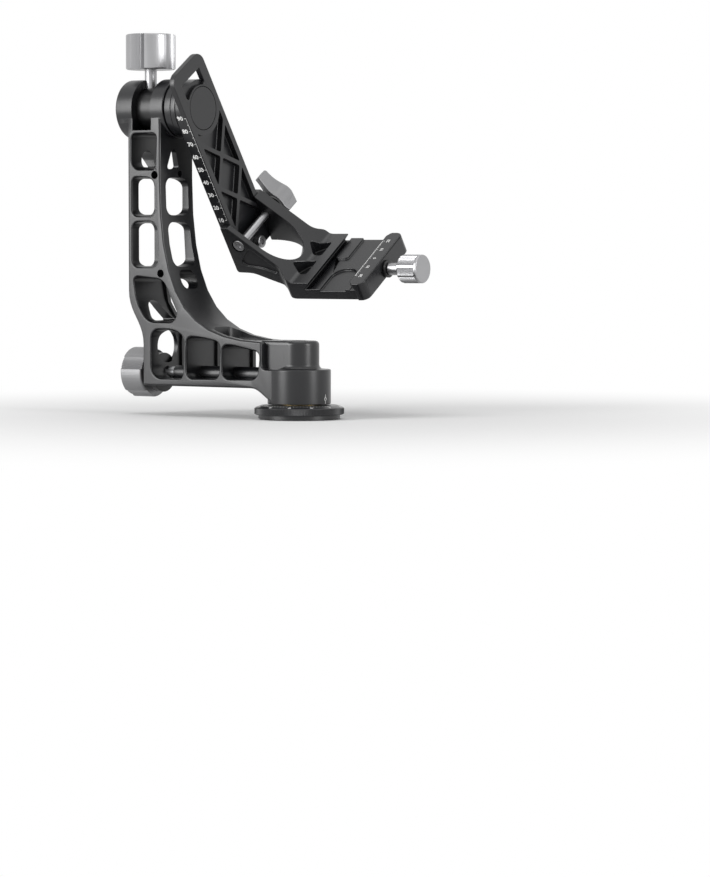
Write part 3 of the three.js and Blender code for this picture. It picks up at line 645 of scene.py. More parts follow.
def base_screw(at):
    head = turned([(0, 0.7), (2.4, 0.7), (2.7, 1), (2.7, 2.6), (1.4, 2.6), (1.4, 7), (1.2, 7.2), (0, 7.2)],
                  "z", at, 32)
    return head.cut(slab(hexagon(1.45, at[0], at[1]), "z", 0, 2))


def thread_bush():
    profile = [(4.9, 0.4), (8, 0.4), (8, 4.6), (4.9, 4.6)]
    turns = 5
    for i in range(turns, 0, -1):
        z = 0.5 + i * 4.0 / turns
        profile += [(4.62, z - 0.15), (5.0, z - 0.5)]
    return turned(profile + [profile[0]], "z", steps=64)


def degree_marks():
    width = size("mark_width")
    bm = bmesh.new()

    def on_bevel(degrees, radius):
        a = math.radians(degrees)
        height = 8.68 - (radius - 24.5) * 0.35
        up = (-math.cos(a) * 0.944, -math.sin(a) * 0.944, 0.33)
        origin = (radius * math.cos(a), radius * math.sin(a), height)
        return facing(origin, (-math.sin(a), math.cos(a), 0), up)

    zero = -8.6
    for i in range(72):
        long = i % 6 == 0
        mark_bar(bm, width * (1.2 if long else 0.9), 1.5 if long else 0.9,
                 on_bevel(zero + i * 5, 25.35 if long else 25.1))
    for i in range(12):
        mark_figures(bm, str(i * 30), 2.0, on_bevel(zero - i * 30, 27.2))
    return bm


class GIMBAL_OT_base(bpy.types.Operator):
    """Base disc with its toothed rim, degree marks, tripod thread and screws"""
    bl_idname = "gimbal_head.base"
    bl_label = "Base"

    def execute(self, context):
        piece("base_plate", base_disc(), "anodised_black", "base", "base_disc", smooth=35)
        piece("tripod_bush", thread_bush(), "steel", "base", "tripod_thread_bush", smooth=30)
        for i, at in enumerate(BASE_SCREWS, 1):
            piece(f"base_cap_screw_{i}", base_screw(at), "steel", "base", f"base_screw_{i}")
        marks("degree_marks", degree_marks(), "base")
        return {"FINISHED"}


# Arm

ARM_WINDOWS = [
    [(-121.9, 161.4, 6), (-102.5, 161.4, 2.8), (-101.8, 184.8, 3), (-121.9, 184.8, 3)],
    [(-121.7, 130.8, 4.5), (-102.9, 130.8, 4.5), (-102.9, 155.5, 6.5), (-121.7, 156.6, 4)],
    [(-121.5, 97.2, 4.5), (-100.1, 97.4, 6), (-101.8, 126.9, 5), (-121.5, 126.9, 4.5)],
    [(-120.9, 91.2, 4), (-96.6, 89, 5), (-84.8, 66.4, 3), (-88.8, 61.2, 3), (-109.6, 61.2, 6),
     (-117.8, 74, 5)],
    [(-106.2, 24.2, 8), (-80.9, 24.2, 3.5), (-78.9, 51.2, 4), (-86.8, 56.1, 5), (-106.2, 56.4, 6)],
    [(-77.1, 24.5, 4.5), (-51.4, 24.9, 4.5), (-50.4, 48.6, 4), (-64, 51.2, 3), (-77.1, 52.1, 4)],
    [(-48.3, 24.8, 5), (-20.9, 25.2, 5), (-18.8, 42.7, 4), (-40.8, 46.8, 1.5), (-48.3, 46.9, 3.6)],
]


def arm_outline():
    shape = Outline(-111.2, 19.4)
    shape.line(-26, 19.4).curve((-18, 19.6), (-14, 9.8), (-3, 9.4)).line(0, 9.4).line(0, 31.8)
    shape.line(-13.7, 31.8).bend((-17.2, 31.8), (-17.2, 35.3))
    shape.line(-17.2, 47.4).bend((-17.2, 49.3), (-19.2, 49.5))
    shape.curve((-72, 51), (-98.4, 70), (-98.4, 156)).line(-98.4, AXIS_Z)
    shape.line(-125.2, AXIS_Z).line(-125.2, 82).curve((-125.2, 66), (-113.2, 62), (-113.2, 46))
    return shape.line(-113.2, 21.4).bend((-113.2, 19.4), (-111.2, 19.4))


def arc_points(centre, radius, start, end, count):
    """Points of a rounded corner of a turned profile."""
    angles = [math.radians(start + (end - start) * i / count) for i in range(count + 1)]
    return [(centre[0] + radius * math.cos(a), centre[1] + radius * math.sin(a)) for a in angles]


def boss():
    """The boss: round at the pan axis, straight towards the arm."""
    plan = Outline(-22.2, -BOSS_R).line(0, -BOSS_R).arc((0, 0), BOSS_R, -90, 90).line(-22.2, BOSS_R)
    made = slab(plan, "z", 29, 50.2, detail=16)
    return made.break_edges(2.6, lambda edge, middle: middle.z > 50 and middle.x > -22, 5)


def gusset():
    """Carries the barrel's overhang on the outer side of the upright."""
    side = rounded([(-122, 158), (-125.2, 161.4), (-131.7, 169.6), (-131.7, 192), (-122, 192)])
    plan = rounded([(-121, -16.4), (-125, -16.4), (-131.7, -8.2, 1), (-131.7, 8.2, 1), (-125, 16.4),
                    (-121, 16.4)])
    return slab(side, "y", -17, 17).keep(slab(plan, "z", 150, 200))


def end_windows():
    """What is cut along X, through the outer wall and through the inner one."""
    holes = [
        (rounded([(-7.2, 163.2, 1), (6.4, 163.2, 1), (6.4, 174.2, 6.5), (-7.2, 174.2, 6.5)]), -140, -112),
        (oblong((-10.8, 10.8), (131.8, 155.6), 5), -140, -112),
        (oblong((-10.8, 10.8), (97.8, 126.2), 5), -140, -112),
        (rounded([(-12, 61.8, 2), (12, 61.8, 2), (3, 75.2, 4), (-6, 75.2, 4)]), -140, -104),
        (Outline(11, 45).arc((0, 45), 11, 0, 360), -120, -100),
        (oblong((-16.2, 16.2), (33.4, 58), 11), -120, -108.5),
        (rounded([(-10.8, 161.7, 2.5), (2.4, 161.7, 2.5), (-0.9, 174.4, 2), (-5.3, 174.4, 2)]), -112, -80),
        (oblong((-12.2, 12.2), (131.4, 156), 6), -112, -80),
        (oblong((-12, 12), (97.5, 126.8), 6), -112, -80),
        (oblong((-8.5, 8.5), (83, 95.5), 5), -105, -70),
    ]
    return [slab(hole, "x", low, high) for hole, low, high in holes]


def arm_frame():
    edge = size("arm_edge")
    windows = [rounded(points) for points in ARM_WINDOWS]
    arm = slab(arm_outline(), "y", -ARM_HALF, ARM_HALF, edge, 0, holes=windows, detail=10)
    for left, top in ((-106.2, 58), (-77.1, 53), (-48.3, 48)):
        arm.join(slab(oblong((left - 1, left + 1.6), (22, top), 0.3), "y", 14, 17.3))
    elbow = rounded([(-123, 92), (-119.3, 92), (-116.2, 74), (-107.8, 60.8), (-111, 59.5), (-119.5, 73)])
    arm.join(slab(elbow, "y", 14, 17.3))
    collar = turned([(0, 9.4), (20, 9.4), (20.5, 9.9), *arc_points((19.7, 31), 0.8, 0, 90, 3),
                     *arc_points((16.3, 35.1), 3.3, 270, 187, 6), (0, 35)], "z", steps=96)
    collar.join(boss())
    collar.cut(slab(windows[-1], "y", -30, 30))
    barrel = turned([(0, -134.5), *arc_points((18.3, -133.3), 1.2, -90, 0, 4),
                     *arc_points((18.9, -96.1), 0.6, 0, 90, 3), (0, -95.5)], "x", (0, 0, AXIS_Z), 96)
    barrel.join(gusset())
    barrel.cut(slab(windows[0], "y", -30, 30))
    arm.join(collar, barrel)
    arm.cut(*end_windows(), slab(oblong((-62, -26.5), (-13.2, 13.2), 7), "z", 46.9, 75))
    arm.join(rod(5, "x", -98, -14, PAN_ROD))
    arm.cut(
        block((-121, -105.6), (-30, 30), (AXIS_Z - 14.4, AXIS_Z + 30)),
        rod(14.5, "x", -136, -94, (0, 0, AXIS_Z), 96),
        rod(14.8, "z", 8, 10.1, steps=96),
        rod(10.8, "z", 8, 18.5, steps=64),
        rod(10.8, "z", 35.5, 52, steps=64),
        rod(7.5, "z", 10, 40),
        rod(ROD_BORE, "x", -115, -5, PAN_ROD),
        rod(13.4, "x", -120, -108.5, PAN_ROD, 96),
        rod(ROD_BORE, "z", AXIS_Z + 9, AXIS_Z + 30, TILT_ROD),
        rod(2.1, "x", -105, -90, (0, 3.5, 158.8), 32),
    )
    for x, z in ((-102.8, 157.7), (-98.1, 93.1)):
        arm.cut(rod(2.7, "y", -20, -12.4, (x, 0, z), 40), rod(2.7, "y", 12.4, 20, (x, 0, z), 40))
    return arm.tidied()


def index_mark():
    bm = bmesh.new()
    for middle, length in ((10.7, 1.8), (15.2, 1.4)):
        mark_bar(bm, 0.32, length, facing((COLLAR_R, 0, middle), (0, 1, 0), (0, 0, 1)))
    for side in (-1, 1):
        for half in (-1, 1):
            lean = half * side
            mark_bar(bm, 0.34, 1.75, facing((20.49, side * 0.55, 12.95 + half * 0.72), (0, 0.8 * lean, 0.6),
                                            (0, -0.6 * lean, 0.8)))
    return bm


class GIMBAL_OT_arm(bpy.types.Operator):
    """Skeleton arm with its barrel, collar and covers"""
    bl_idname = "gimbal_head.arm"
    bl_label = "Arm"

    def execute(self, context):
        at = (0, 0, AXIS_Z)
        piece("skeleton_arm", arm_frame(), "anodised_black", "arm", "arm_frame")
        cover = turned([(0, 48.2), (10.5, 48.2), *arc_points((10.1, 49.7), 0.4, 0, 90, 3), (6.2, 50.1),
                        (6, 49.8), (0, 49.8)], "z", steps=96)
        piece("boss_cover", cover, "anodised_black", "arm", "spindle_cover")
        sleeve = ring(11.5, 14.2, "x", -131.5, -95.6, at, 96)
        sleeve.cut(rod(ROD_BORE, "z", AXIS_Z + 9, AXIS_Z + 20, TILT_ROD))
        piece("barrel_sleeve", sleeve, "anodised_dark", "arm", "tilt_sleeve")
        thrust = turned([(8.6, -95.2), *arc_points((17.7, -94.6), 0.6, -90, 0, 3),
                         *arc_points((17.8, -90.5), 0.5, 0, 90, 3), (8.6, -90), (8.6, -95.2)], "x", at, 96)
        piece("thrust_ring", thrust, "anodised_black", "arm", "tilt_thrust_ring")
        cap = turned([(0, -134.2), (9.6, -134.2), (9.9, -134.4), (13.4, -134.4), (14.2, -133.6), (14.2, -133),
                      (0, -133)], "x", at, 96)
        piece("barrel_cap", cap, "anodised_black", "arm", "tilt_end_cap")
        marks("index_mark", index_mark(), "arm")
        return {"FINISHED"}


# Lock knobs

def lobed_outline(radius, turn, lobes=4, span=54, land=1.1, teeth=7):
    """Smooth lobes with serrated lands lying a little deeper between them."""
    depth = size("tooth_depth")
    low = radius - land
    shape = Outline(*on_circle(radius, turn - span / 2))
    for i in range(lobes):
        centre = turn + i * 360 / lobes
        begin, end = centre - span / 2, centre + span / 2
        shape.arc((0, 0), radius, begin, end)
        toothed(shape, low, low - depth, end + 2.6, end + 360 / lobes - span - 2.6, teeth)
    shape.line(*shape.knots[0][0])
    return shape


def rounded_can(radius, low, high, edge, axis, dish=0.0):
    """A cylinder with rounded rims that gives a knob its outer form."""
    profile = [(0, low), *arc_points((radius - edge, low + edge), edge, -90, 0, 6),
               *arc_points((radius - edge, high - edge), edge, 0, 90, 6)]
    if dish:
        profile += [(radius * 0.62, high), (radius * 0.6, high - dish)]
    profile.append((0, high - dish))
    return turned(profile, axis, steps=96)


def tilt_knob():
    knob = slab(lobed_outline(KNOB_R - 0.05, 49), "z", -1, 25)
    knob.keep(rounded_can(KNOB_R, 0, 23.4, 1.4, "z", 0.3))
    knob.moved(Matrix.Translation((TILT_ROD[0], 0, 227.5)))
    return knob.cut(rod(ROD_BORE, "z", 226, 243, TILT_ROD)).tidied()


def pan_knob():
    knob = slab(lobed_outline(KNOB_R - 0.05, 20), "x", -134, -116)
    knob.keep(rounded_can(KNOB_R, -133.6, -116.5, 1.4, "x"))
    knob.moved(Matrix.Translation(PAN_ROD))
    knob.cut(rod(ROD_BORE, "x", -127, -115, PAN_ROD), rod(7.5, "x", -135, -133.2, PAN_ROD, 64))
    return knob.tidied()


class GIMBAL_OT_lock_knobs(bpy.types.Operator):
    """The four-lobed tilt and pan knobs with their rods"""
    bl_idname = "gimbal_head.lock_knobs"
    bl_label = "Lock knobs"

    def execute(self, context):
        piece("tilt_grip", tilt_knob(), "bright_upright", "tilt_lock", "tilt_knob", smooth=32)
        shaft = turned([(0, AXIS_Z + 11.3), (3.4, AXIS_Z + 11.3), (4, AXIS_Z + 12), (4, 242), (0, 242)], "z",
                       TILT_ROD, 64)
        piece("tilt_shaft", shaft, "bright_upright", "tilt_lock", "tilt_knob_rod")
        piece("pan_grip", pan_knob(), "grey_aluminium", "pan_lock", "pan_knob", smooth=32)
        collar = turned([(4.3, -116.2), (7.7, -116.2), (8, -115.9), (8, -113), (12.6, -113), (13, -112.6),
                         (13, -109.1), (12.7, -108.8), (4.3, -108.8), (4.3, -116.2)], "x", PAN_ROD, 96)
        piece("pan_collar", collar, "anodised_dark", "pan_lock", "pan_knob_collar")
        shaft = turned([(0, -126.5), (4, -126.5), (4, -12), (3.2, -11.2), (0, -11.2)], "x", PAN_ROD, 64)
        piece("pan_shaft", shaft, "steel", "pan_lock", "pan_knob_rod")
        return {"FINISHED"}


# Swing plate, in the swing's own frame: Y across the plate, -Z down the plate

def hand_hole():
    shape = Outline(-11.2, 24).line(-11.4, 14.4).line(-9.604, 12.293)
    shape.arc((0, 0), 15.6, 128, 54)
    return shape.line(11.4, 13.6).line(11.2, 24)


def plate_outline(top, corner):
    return rounded([(-PLATE_HALF, -112, 2), (PLATE_HALF, -112, 2), (PLATE_HALF, top, corner),
                    (-PLATE_HALF, top, corner)])


def lattice_pockets():
    """The pockets between the crossing ribs, with rounded corners."""
    pockets = slab(oblong((-14.6, 14.6), (-98, -9), 0.01), "x", -80.5, -75.5)
    ribs = []
    for middle in (-36.5, -70):
        for side in (1, -1):
            rib = block((-6, 6), (-1.4, 1.4), (-30, 30))
            turn = Matrix.Rotation(side * math.atan2(29.2, 33.5), 4, "X")
            ribs.append(rib.moved(Matrix.Translation((-76.5, 0, middle)) @ turn))
    pockets.cut(rod(18, "x", -82, -74, steps=96), *ribs)
    pockets.tidied()
    pockets.break_edges(1.5, lambda edge, middle: abs(edge.verts[0].co.x - edge.verts[1].co.x) > 3, 4)
    return pockets.break_edges(0.5, lambda edge, middle: middle.x < -80.4, 2)


def swing_plate():
    fine = size("fine_edge")
    plate = slab(plate_outline(33.5, 8), "x", -80.5, -76.5, 0.6, holes=[hand_hole()], detail=10)
    thick = slab(plate_outline(0, 0.01), "x", -85.5, -79)
    thick.join(rod(PLATE_HALF, "x", -85.5, -79, steps=120))
    plate.join(thick)
    plate.cut(lattice_pockets(), rod(14.5, "x", -78.9, -75, steps=96),
              rod(13.4, "x", -81.4, -78, steps=64), rod(4.3, "x", -87, -80))
    for i in range(3):
        angle = (i * 2 + 0.5) * math.pi / 3
        plate.cut(rod(1.9, "x", -87, -80, (0, 9.6 * math.cos(angle), 9.6 * math.sin(angle)), 24))
    plate.cut(rod(2.5, "x", -87, -75, (0, 0, -106), 40))
    plate.tidied()
    return plate.break_edges(fine, lambda edge, middle: middle.x < -85.4 and abs(middle.y) > 15)


def stop_screw():
    screw = turned([(0, -84.5), (2.2, -84.5), (2.2, -76.2), (4.2, -76.2),
                    *arc_points((3.6, -72.2), 0.6, 0, 90, 4), (0, -71.6)], "x", steps=64)
    screw.cut(slab(hexagon(2.1), "x", -73.6, -70))
    return screw.moved(Matrix.Translation((0, 0, -106)))


def plate_scale():
    width = size("mark_width")
    bm = bmesh.new()
    line = -77.35

    def on_side(x, z):
        return facing((x, -PLATE_HALF, z), (1, 0, 0), (0, 0, 1))

    mark_bar(bm, width * 0.6, 80.3, on_side(line, -36))
    for i in range(17):
        z = 4 - 5 * i
        long = i % 2 == 0
        length = 1.6 if long else 0.8
        mark_bar(bm, length, width, on_side(line - length / 2, z))
        if long:
            mark_figures(bm, str(90 - 5 * i), 4.4, on_side(-82.1, z))
    return bm


class GIMBAL_OT_swing(bpy.types.Operator):
    """Swing plate with its lattice, hub, cap, stop screw and scale"""
    bl_idname = "gimbal_head.swing"
    bl_label = "Swing plate"

    def execute(self, context):
        piece("lattice_plate", swing_plate(), "anodised_black", "swing", "swing_plate")
        hub = turned([(8.3, -89.5), *arc_points((18.5, -89), 0.5, -90, 0, 3), (19, -86), (18.8, -85.8),
                      (8.3, -85.8), (8.3, -89.5)], "x", steps=120)
        piece("hub_disc", hub, "anodised_black", "swing", "swing_hub")
        cap = turned([(0, -78.6), (14.2, -78.6), (14.2, -76.75), (14.0, -76.5), (0, -76.5)], "x", steps=120)
        piece("plain_cap", cap, "anodised_black", "swing", "hub_cap")
        piece("stop_cap_screw", stop_screw(), "bright_across", "swing", "plate_stop_screw")
        marks("plate_scale", plate_scale(), "swing")
        return {"FINISHED"}


# Cradle

def cradle_side():
    return rounded([(-82, -79.4), (-76.2, -79.4), (-38.2, -118.8, 1), (-36, JAW_TOP, 1), (-23.5, JAW_TOP),
                    (-23.5, -120), (-27.4, -123.9), (-27.4, -124.6), (-23.2, -124.6), (-23.2, -124.2),
                    (8, -124.2), (8, -124.6), (12, -124.6), (12, -132.3, 0.6), (-44.8, -132.3, 8),
                    (-46.4, -125.4, 2), (-57, -121, 4), (-69, -115.6, 4), (-82, -115, 2)])


def cradle_plan():
    shape = Outline(-90, -23.5).line(-49, -23.5).curve((-43.5, -23.5), (-43, -29), (-40, -29))
    shape.line(20, -29).line(20, 29).line(-40, 29).curve((-43, 29), (-43.5, 23.5), (-49, 23.5))
    return shape.line(-90, 23.5)


def cradle_opening():
    """The U drawn on the sloped face: X runs down the slope, Y across it."""
    near, far, straight, end = -19.3, 14.3, 26, 49.3
    middle, half, reach = (near + far) / 2, (far - near) / 2, end - straight
    k = 0.5523
    shape = Outline(-20, near).line(straight, near)
    shape.curve((straight + k * reach, near), (end, middle - k * half), (end, middle))
    shape.curve((end, middle + k * half), (straight + k * reach, far), (straight, far)).line(-20, far)
    cutter = slab(shape, "z", -70, 10, detail=16)
    slope = math.atan2(37.4, 36.1)
    return cutter.moved(Matrix.Translation((-76.1, 0, -79.4)) @ Matrix.Rotation(slope, 4, "Y"))


def cradle():
    fine = size("fine_edge")
    body = slab(cradle_side(), "y", -29, 29)
    body.keep(slab(cradle_plan(), "z", -140, -70, detail=12))
    pocket = [(-31, 3, 2), (-31, 18.6, 2), (-36, 18.2, 2), (-43.4, 12.4, 2), (-38, 4, 2)]
    body.cut(
        cradle_opening(),
        block((-90, -76.2), (-19.3, 19.3), (-140, -70)),
        block((-90, -46), (-19.3, 19.3), (-140, -114.6)),
        slab(rounded([(-65.5, -95.4, 2), (-75.4, -106.4, 2), (-73, -109.8, 2), (-61, -111.4, 6),
                      (-50.5, -115.8, 1), (-47.4, -114.6, 1)]), "y", -30, -22.2),
        slab(rounded([(-16, -30), (4, -30), (4, -5, 9), (-16, -5, 9)]), "z", -125.8, -120),
        slab(rounded(pocket), "z", -124, -105),
        slab(rounded(mirrored(pocket)), "z", -124, -105),
    )
    body.join(slab(rounded([(-22.5, 5, 3), (-12.5, 5, 3), (-12.5, 29), (-22.5, 29)]), "z", -125, -122.8))
    body.soften(fine, 2, 28)
    body.cut(
        rod(3.1, "y", -30, 30, LOCK_ROD),
        rod(4.7, "y", -30, -21.2, LOCK_ROD, 64),
        rod(2.8, "x", -14, 30, CLAMP_SCREW),
        *[rod(2.3, "x", -9, 30, at, 32) for at in GUIDE_PINS],
        block((-81, -77), (18, 21.8), (-100, -88)),
    )
    return body.tidied()


def lock_bolt():
    bolt = turned([(0, -23.2), (3.3, -23.2), *arc_points((3.5, -22.4), 0.8, -90, 0, 4), (4.3, -21.6),
                   (2.8, -21.6), (2.8, 32), (0, 32)], "y", LOCK_ROD, 64)
    return bolt.cut(slab(hexagon(1.9, LOCK_ROD[0], LOCK_ROD[2]), "y", -25, -21.9))


def height_lever():
    """A two-armed wing round a hub, drawn along its long arm."""
    plan = Outline(20.4, 5.4).line(20.4, 0.9).curve((13, 1.2), (8, -1), (5.4, -4))
    plan.arc((0, 0), 6.6, -36.7, -126).bend((-6, -1.4), (-10.1, 0.4)).line(-10.1, 5.2)
    plan.bend((-6, 5.2), (-4, 5.8)).bend((0, 7.4), (5, 5.4)).bend((12, 4.2), (20.4, 5.4))
    profile = rounded([(20.6, 29), (20.6, 38.9, 2), (12, 39.5, 3), (4, 41.6, 3), (-4.5, 41.6, 3),
                       (-10.4, 38.8, 1), (-10.4, 28.6), (-6.5, 27.4, 1), (9, 27.4, 2)])
    lever = slab(plan, "z", 20, 45, detail=12)
    lever.keep(slab(profile, "y", -12, 12, detail=8))
    lever.soften(0.7, 3, 40)
    lever.join(rod(5.4, "z", 25.3, 29, steps=64)).cut(rod(3.1, "z", 20, 33.5))
    upright = Matrix(((1, 0, 0, 0), (0, 0, 1, 0), (0, -1, 0, 0), (0, 0, 0, 1)))
    turn = Matrix.Rotation(-math.atan2(0.852, -0.526), 4, "Y")
    return lever.moved(Matrix.Translation(LOCK_ROD) @ turn @ upright)


class GIMBAL_OT_cradle(bpy.types.Operator):
    """Cradle with its lock bolt, washer and lever"""
    bl_idname = "gimbal_head.cradle"
    bl_label = "Cradle"

    def execute(self, context):
        piece("cradle", cradle(), "anodised_black", "cradle", "cradle_bracket")
        piece("lock_bolt", lock_bolt(), "bright_across", "cradle", "cradle_lock_bolt")
        washer = ring(3.1, 8, "y", 23.8, 25, LOCK_ROD)
        piece("lever_ring", washer, "anodised_dark", "cradle", "lever_washer")
        piece("wing_lever", height_lever(), "grey_aluminium", "height_lock", "height_lever")
        return {"FINISHED"}


# Clamp

def jaw():
    fine = size("fine_edge")
    side = rounded([(8.3, JAW_TOP), (20.3, JAW_TOP, 1), (20.3, -132.3, 1), (12.4, -132.3), (12.4, -123.9),
                    (8.3, -120)])
    plan = rounded([(8.3, -26.5), (10.6, -30, 1.5), (20.3, -30, 5.5), (20.3, 30, 5.5), (10.6, 30, 1.5),
                    (8.3, 26.5)])
    body = slab(side, "y", -30, 30).keep(slab(plan, "z", -140, -100))
    body.soften(fine, 2, 28)
    body.cut(rod(2.8, "x", 0, 30, CLAMP_SCREW), *[rod(2.3, "x", 0, 18.8, at, 32) for at in GUIDE_PINS])
    return body.tidied()


def jaw_scale():
    width = size("mark_width")
    line = 9.1
    bm = bmesh.new()
    mark_bar(bm, width, 40.2, facing((line, 0, JAW_TOP), (1, 0, 0), (0, 1, 0)))
    for i in range(41):
        length = 1.6 if i % 10 == 0 else 1.2 if i % 5 == 0 else 0.8
        at = (line + length / 2, i - 20, JAW_TOP)
        mark_bar(bm, length, width * 0.8, facing(at, (1, 0, 0), (0, 1, 0)))
    for i in (-2, -1, 0, 1, 2):
        mark_figures(bm, str(abs(i) * 10), 3.2, facing((13.6, 10 * i, JAW_TOP), (0, 1, 0), (-1, 0, 0)))
    return bm


def grooved_outline(radius, grooves=8, teeth=6, depth=0.34):
    """Smooth grooves with fine teeth on the lands between them."""
    deep = radius - 0.9
    shape = Outline(*on_circle(deep, -5))
    for i in range(grooves):
        middle = i * 360 / grooves
        shape.arc((0, 0), deep, middle - 5, middle + 5)
        toothed(shape, radius, radius - depth, middle + 8, middle + 360 / grooves - 8, teeth)
    shape.line(*shape.knots[0][0])
    return shape


def clamp_knob():
    knob = slab(grooved_outline(9.45), "x", 32, 50)
    crests, start, end = 12, 34.4, 46.2
    pitch = (end - start) / crests
    profile = [(0, 33), (8.5, 33), (9.3, 33.9)]
    for i in range(crests):
        profile += [(9.5, start + (i + 0.5) * pitch), (9.14, start + (i + 1) * pitch)]
    profile += [(8.9, 46.6), (8.9, 48.5), (0, 48.5)]
    knob.keep(turned(profile, "x", steps=96))
    rim = turned([(0, 46.2), (9, 46.2), *arc_points((9.0, 46.7), 0.4, -90, 0, 3),
                  *arc_points((8.6, 47.7), 0.8, 0, 90, 5), (6.8, 48.5), (6.6, 47.9), (1.2, 47.9),
                  (0.8, 47.5), (0, 47.5)], "x", steps=96)
    knob.join(rim)
    knob.cut(rod(2.8, "x", 32, 42.3))
    return knob.moved(Matrix.Translation(CLAMP_SCREW)).tidied()


class GIMBAL_OT_clamp(bpy.types.Operator):
    """Moving jaw with its scale, the clamp screw and the knob"""
    bl_idname = "gimbal_head.clamp"
    bl_label = "Clamp"

    def execute(self, context):
        piece("jaw", jaw(), "anodised_black", "jaw", "moving_jaw")
        marks("jaw_scale", jaw_scale(), "jaw")
        washer = turned([(2.8, 20.6), (5.8, 20.6), (5.8, 22), (5.4, 22.4), (2.8, 22.4), (2.8, 20.6)], "x",
                        CLAMP_SCREW, 64)
        piece("screw_collar", washer, "anodised_dark", "clamp_drive", "clamp_thrust_washer")
        screw = turned([(0, -12), (2, -12), (2.5, -11.5), (2.5, 22.7), (3.9, 22.7), (4.2, 23), (4.2, 32.4),
                        (3.9, 32.7), (2.5, 32.7), (2.5, 42), (0, 42)], "x", CLAMP_SCREW, 64)
        piece("clamp_spindle", screw, "bright_across", "clamp_drive", "clamp_screw")
        piece("clamp_grip", clamp_knob(), "bright_across", "clamp_drive", "clamp_knob", smooth=28)
        return {"FINISHED"}


# Inner parts

class GIMBAL_OT_inner_parts(bpy.types.Operator):
    """Metal finishes for the screws, bearings, axle and pads that stay as CAD parts"""
    bl_idname = "gimbal_head.inner_parts"
    bl_label = "Inner parts"

    def execute(self, context):
        slots = {row["node"]: row["material_slot"] for row in frame["record"]["subparts"]}
        names = {"bright_aluminium": "bright_across"}
        for node, part in frame["nodes"].items():
            slot = slots[node]
            part.data.materials.clear()
            part.data.materials.append(finish(names.get(slot, slot)))
        return {"FINISHED"}


# Studio

def shown_rays(tree):
    """1 for rays that reach the camera straight, or by way of metal or glass."""
    rays = tree.nodes.new("ShaderNodeLightPath")
    total = rays.outputs["Is Camera Ray"]
    for kind in ("Is Glossy Ray", "Is Transmission Ray"):
        added = tree.nodes.new("ShaderNodeMath")
        added.use_clamp = True
        tree.links.new(total, added.inputs[0])
        tree.links.new(rays.outputs[kind], added.inputs[1])
        total = added.outputs[0]
    return total


def studio_floor(colour):
    """A pale floor that keeps the shadow near the object and turns white further out."""
    made = Finish("studio_floor", Roughness=0.9)
    made.set("Base Color", colour)
    away = made.node("ShaderNodeVectorMath", {"operation": "LENGTH"}, {0: made.place}, "Value")
    fade = made.node("ShaderNodeMapRange", {"interpolation_type": "SMOOTHSTEP"},
                     {"Value": away, "From Min": 0.06, "From Max": 0.5, "To Min": 0.0, "To Max": 1.0})
    seen = Channel(made, shown_rays(made.tree))
    glow = made.node("ShaderNodeEmission", {}, {"Color": (1, 1, 1), "Strength": 1.0})
    plain = Channel(made, made.shader.outputs[0])
    mixed = made.node("ShaderNodeMixShader", {}, {0: fade * seen, 1: plain, 2: glow})
    made.tree.links.new(mixed.socket, made.tree.nodes["Material Output"].inputs["Surface"])
    return made.material


def soft_light(name, place, aim, size, power):
    lamp = bpy.data.lights.new(name, "AREA")
    lamp.shape = "RECTANGLE"
    lamp.size, lamp.size_y = size
    lamp.energy = power
    holder = bpy.data.objects.new(name, lamp)
    bpy.context.scene.collection.objects.link(holder)
    holder.location = place
    holder.rotation_euler = (Vector(aim) - Vector(place)).to_track_quat("-Z", "Y").to_euler()
    return holder


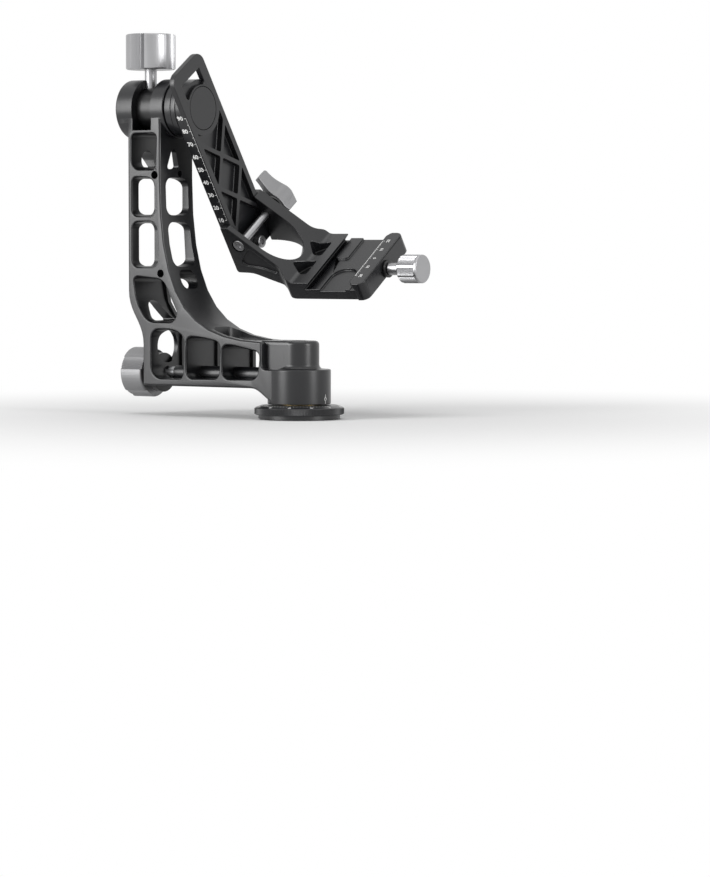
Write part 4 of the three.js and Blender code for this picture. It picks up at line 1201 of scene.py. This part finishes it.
class GIMBAL_OT_studio(bpy.types.Operator):
    """White floor and backdrop, soft lights and the camera"""
    bl_idname = "gimbal_head.studio"
    bl_label = "Studio"

    def execute(self, context):
        stage = context.scene.gimbal_head_stage
        bm = bmesh.new()
        bmesh.ops.create_circle(bm, cap_ends=True, segments=64, radius=6)
        mesh = bpy.data.meshes.new("floor")
        bmesh.ops.translate(bm, vec=(0, 0, -0.0004), verts=bm.verts)
        bm.to_mesh(mesh)
        bm.free()
        mesh.materials.append(studio_floor(stage.floor))
        floor = bpy.data.objects.new("floor", mesh)
        context.scene.collection.objects.link(floor)

        world = bpy.data.worlds.new("studio")
        context.scene.world = world
        world.use_nodes = True
        tree = world.node_tree
        level = tree.nodes.new("ShaderNodeMix")
        level.data_type = "FLOAT"
        tree.links.new(shown_rays(tree), level.inputs[0])
        level.inputs[2].default_value = 0.32
        level.inputs[3].default_value = 1.0
        tree.links.new(level.outputs[0], tree.nodes["Background"].inputs["Strength"])
        tree.nodes["Background"].inputs["Color"].default_value = (1, 1, 1, 1)

        soft_light("key", (-0.83, -1.52, 0.5), (-0.05, 0, 0.13), (0.85, 1.3), stage.key)
        soft_light("side", (1.7, -0.06, 0.45), (-0.03, 0, 0.13), (0.6, 1.2), stage.key * 0.55)
        soft_light("top", (0.0, 0.1, 1.6), (-0.03, 0, 0.1), (1.2, 1.2), stage.key * 0.14)

        camera = bpy.data.cameras.new("camera")
        camera.lens = stage.lens
        camera.sensor_width = 36
        camera.clip_start, camera.clip_end = 0.05, 50
        holder = bpy.data.objects.new("camera", camera)
        context.scene.collection.objects.link(holder)
        holder.location = (1.2545, -1.8023, 0.1147)
        holder.rotation_euler = Vector((-0.5568, 0.8286, -0.0581)).to_track_quat("-Z", "Y").to_euler()
        context.scene.camera = holder
        context.scene.view_settings.view_transform = "Standard"
        return {"FINISHED"}


class GIMBAL_PT_panel(bpy.types.Panel):
    """Lists the sizes, the colours and the pieces"""
    bl_idname = "GIMBAL_PT_panel"
    bl_label = "Gimbal head"
    bl_space_type = "VIEW_3D"
    bl_region_type = "UI"
    bl_category = "Gimbal head"

    def draw(self, context):
        layout = self.layout
        for group in (context.scene.gimbal_head_sizes, context.scene.gimbal_head_colours,
                      context.scene.gimbal_head_stage):
            column = layout.column(align=True)
            for name in group.__annotations__:
                column.prop(group, name)
        for step in STEPS:
            layout.operator(step.bl_idname)


GROUPS = {
    "gimbal_head_sizes": GimbalHeadSizes,
    "gimbal_head_colours": GimbalHeadColours,
    "gimbal_head_stage": GimbalHeadStage,
}
STEPS = (GIMBAL_OT_inner_parts, GIMBAL_OT_base, GIMBAL_OT_arm, GIMBAL_OT_lock_knobs, GIMBAL_OT_swing,
         GIMBAL_OT_cradle, GIMBAL_OT_clamp, GIMBAL_OT_studio)


def register():
    for made in (*GROUPS.values(), *STEPS, GIMBAL_PT_panel):
        bpy.utils.register_class(made)
    for name, group in GROUPS.items():
        setattr(bpy.types.Scene, name, bpy.props.PointerProperty(type=group))


def unregister():
    for name in GROUPS:
        delattr(bpy.types.Scene, name)
    for made in reversed((*GROUPS.values(), *STEPS, GIMBAL_PT_panel)):
        bpy.utils.unregister_class(made)


def main():
    register()
    bpy.ops.gimbal_head.inner_parts()
    bpy.ops.gimbal_head.base()
    bpy.ops.gimbal_head.arm()
    bpy.ops.gimbal_head.lock_knobs()
    bpy.ops.gimbal_head.swing()
    bpy.ops.gimbal_head.cradle()
    bpy.ops.gimbal_head.clamp()
    bpy.ops.gimbal_head.studio()


if __name__ == "__main__":
    main()
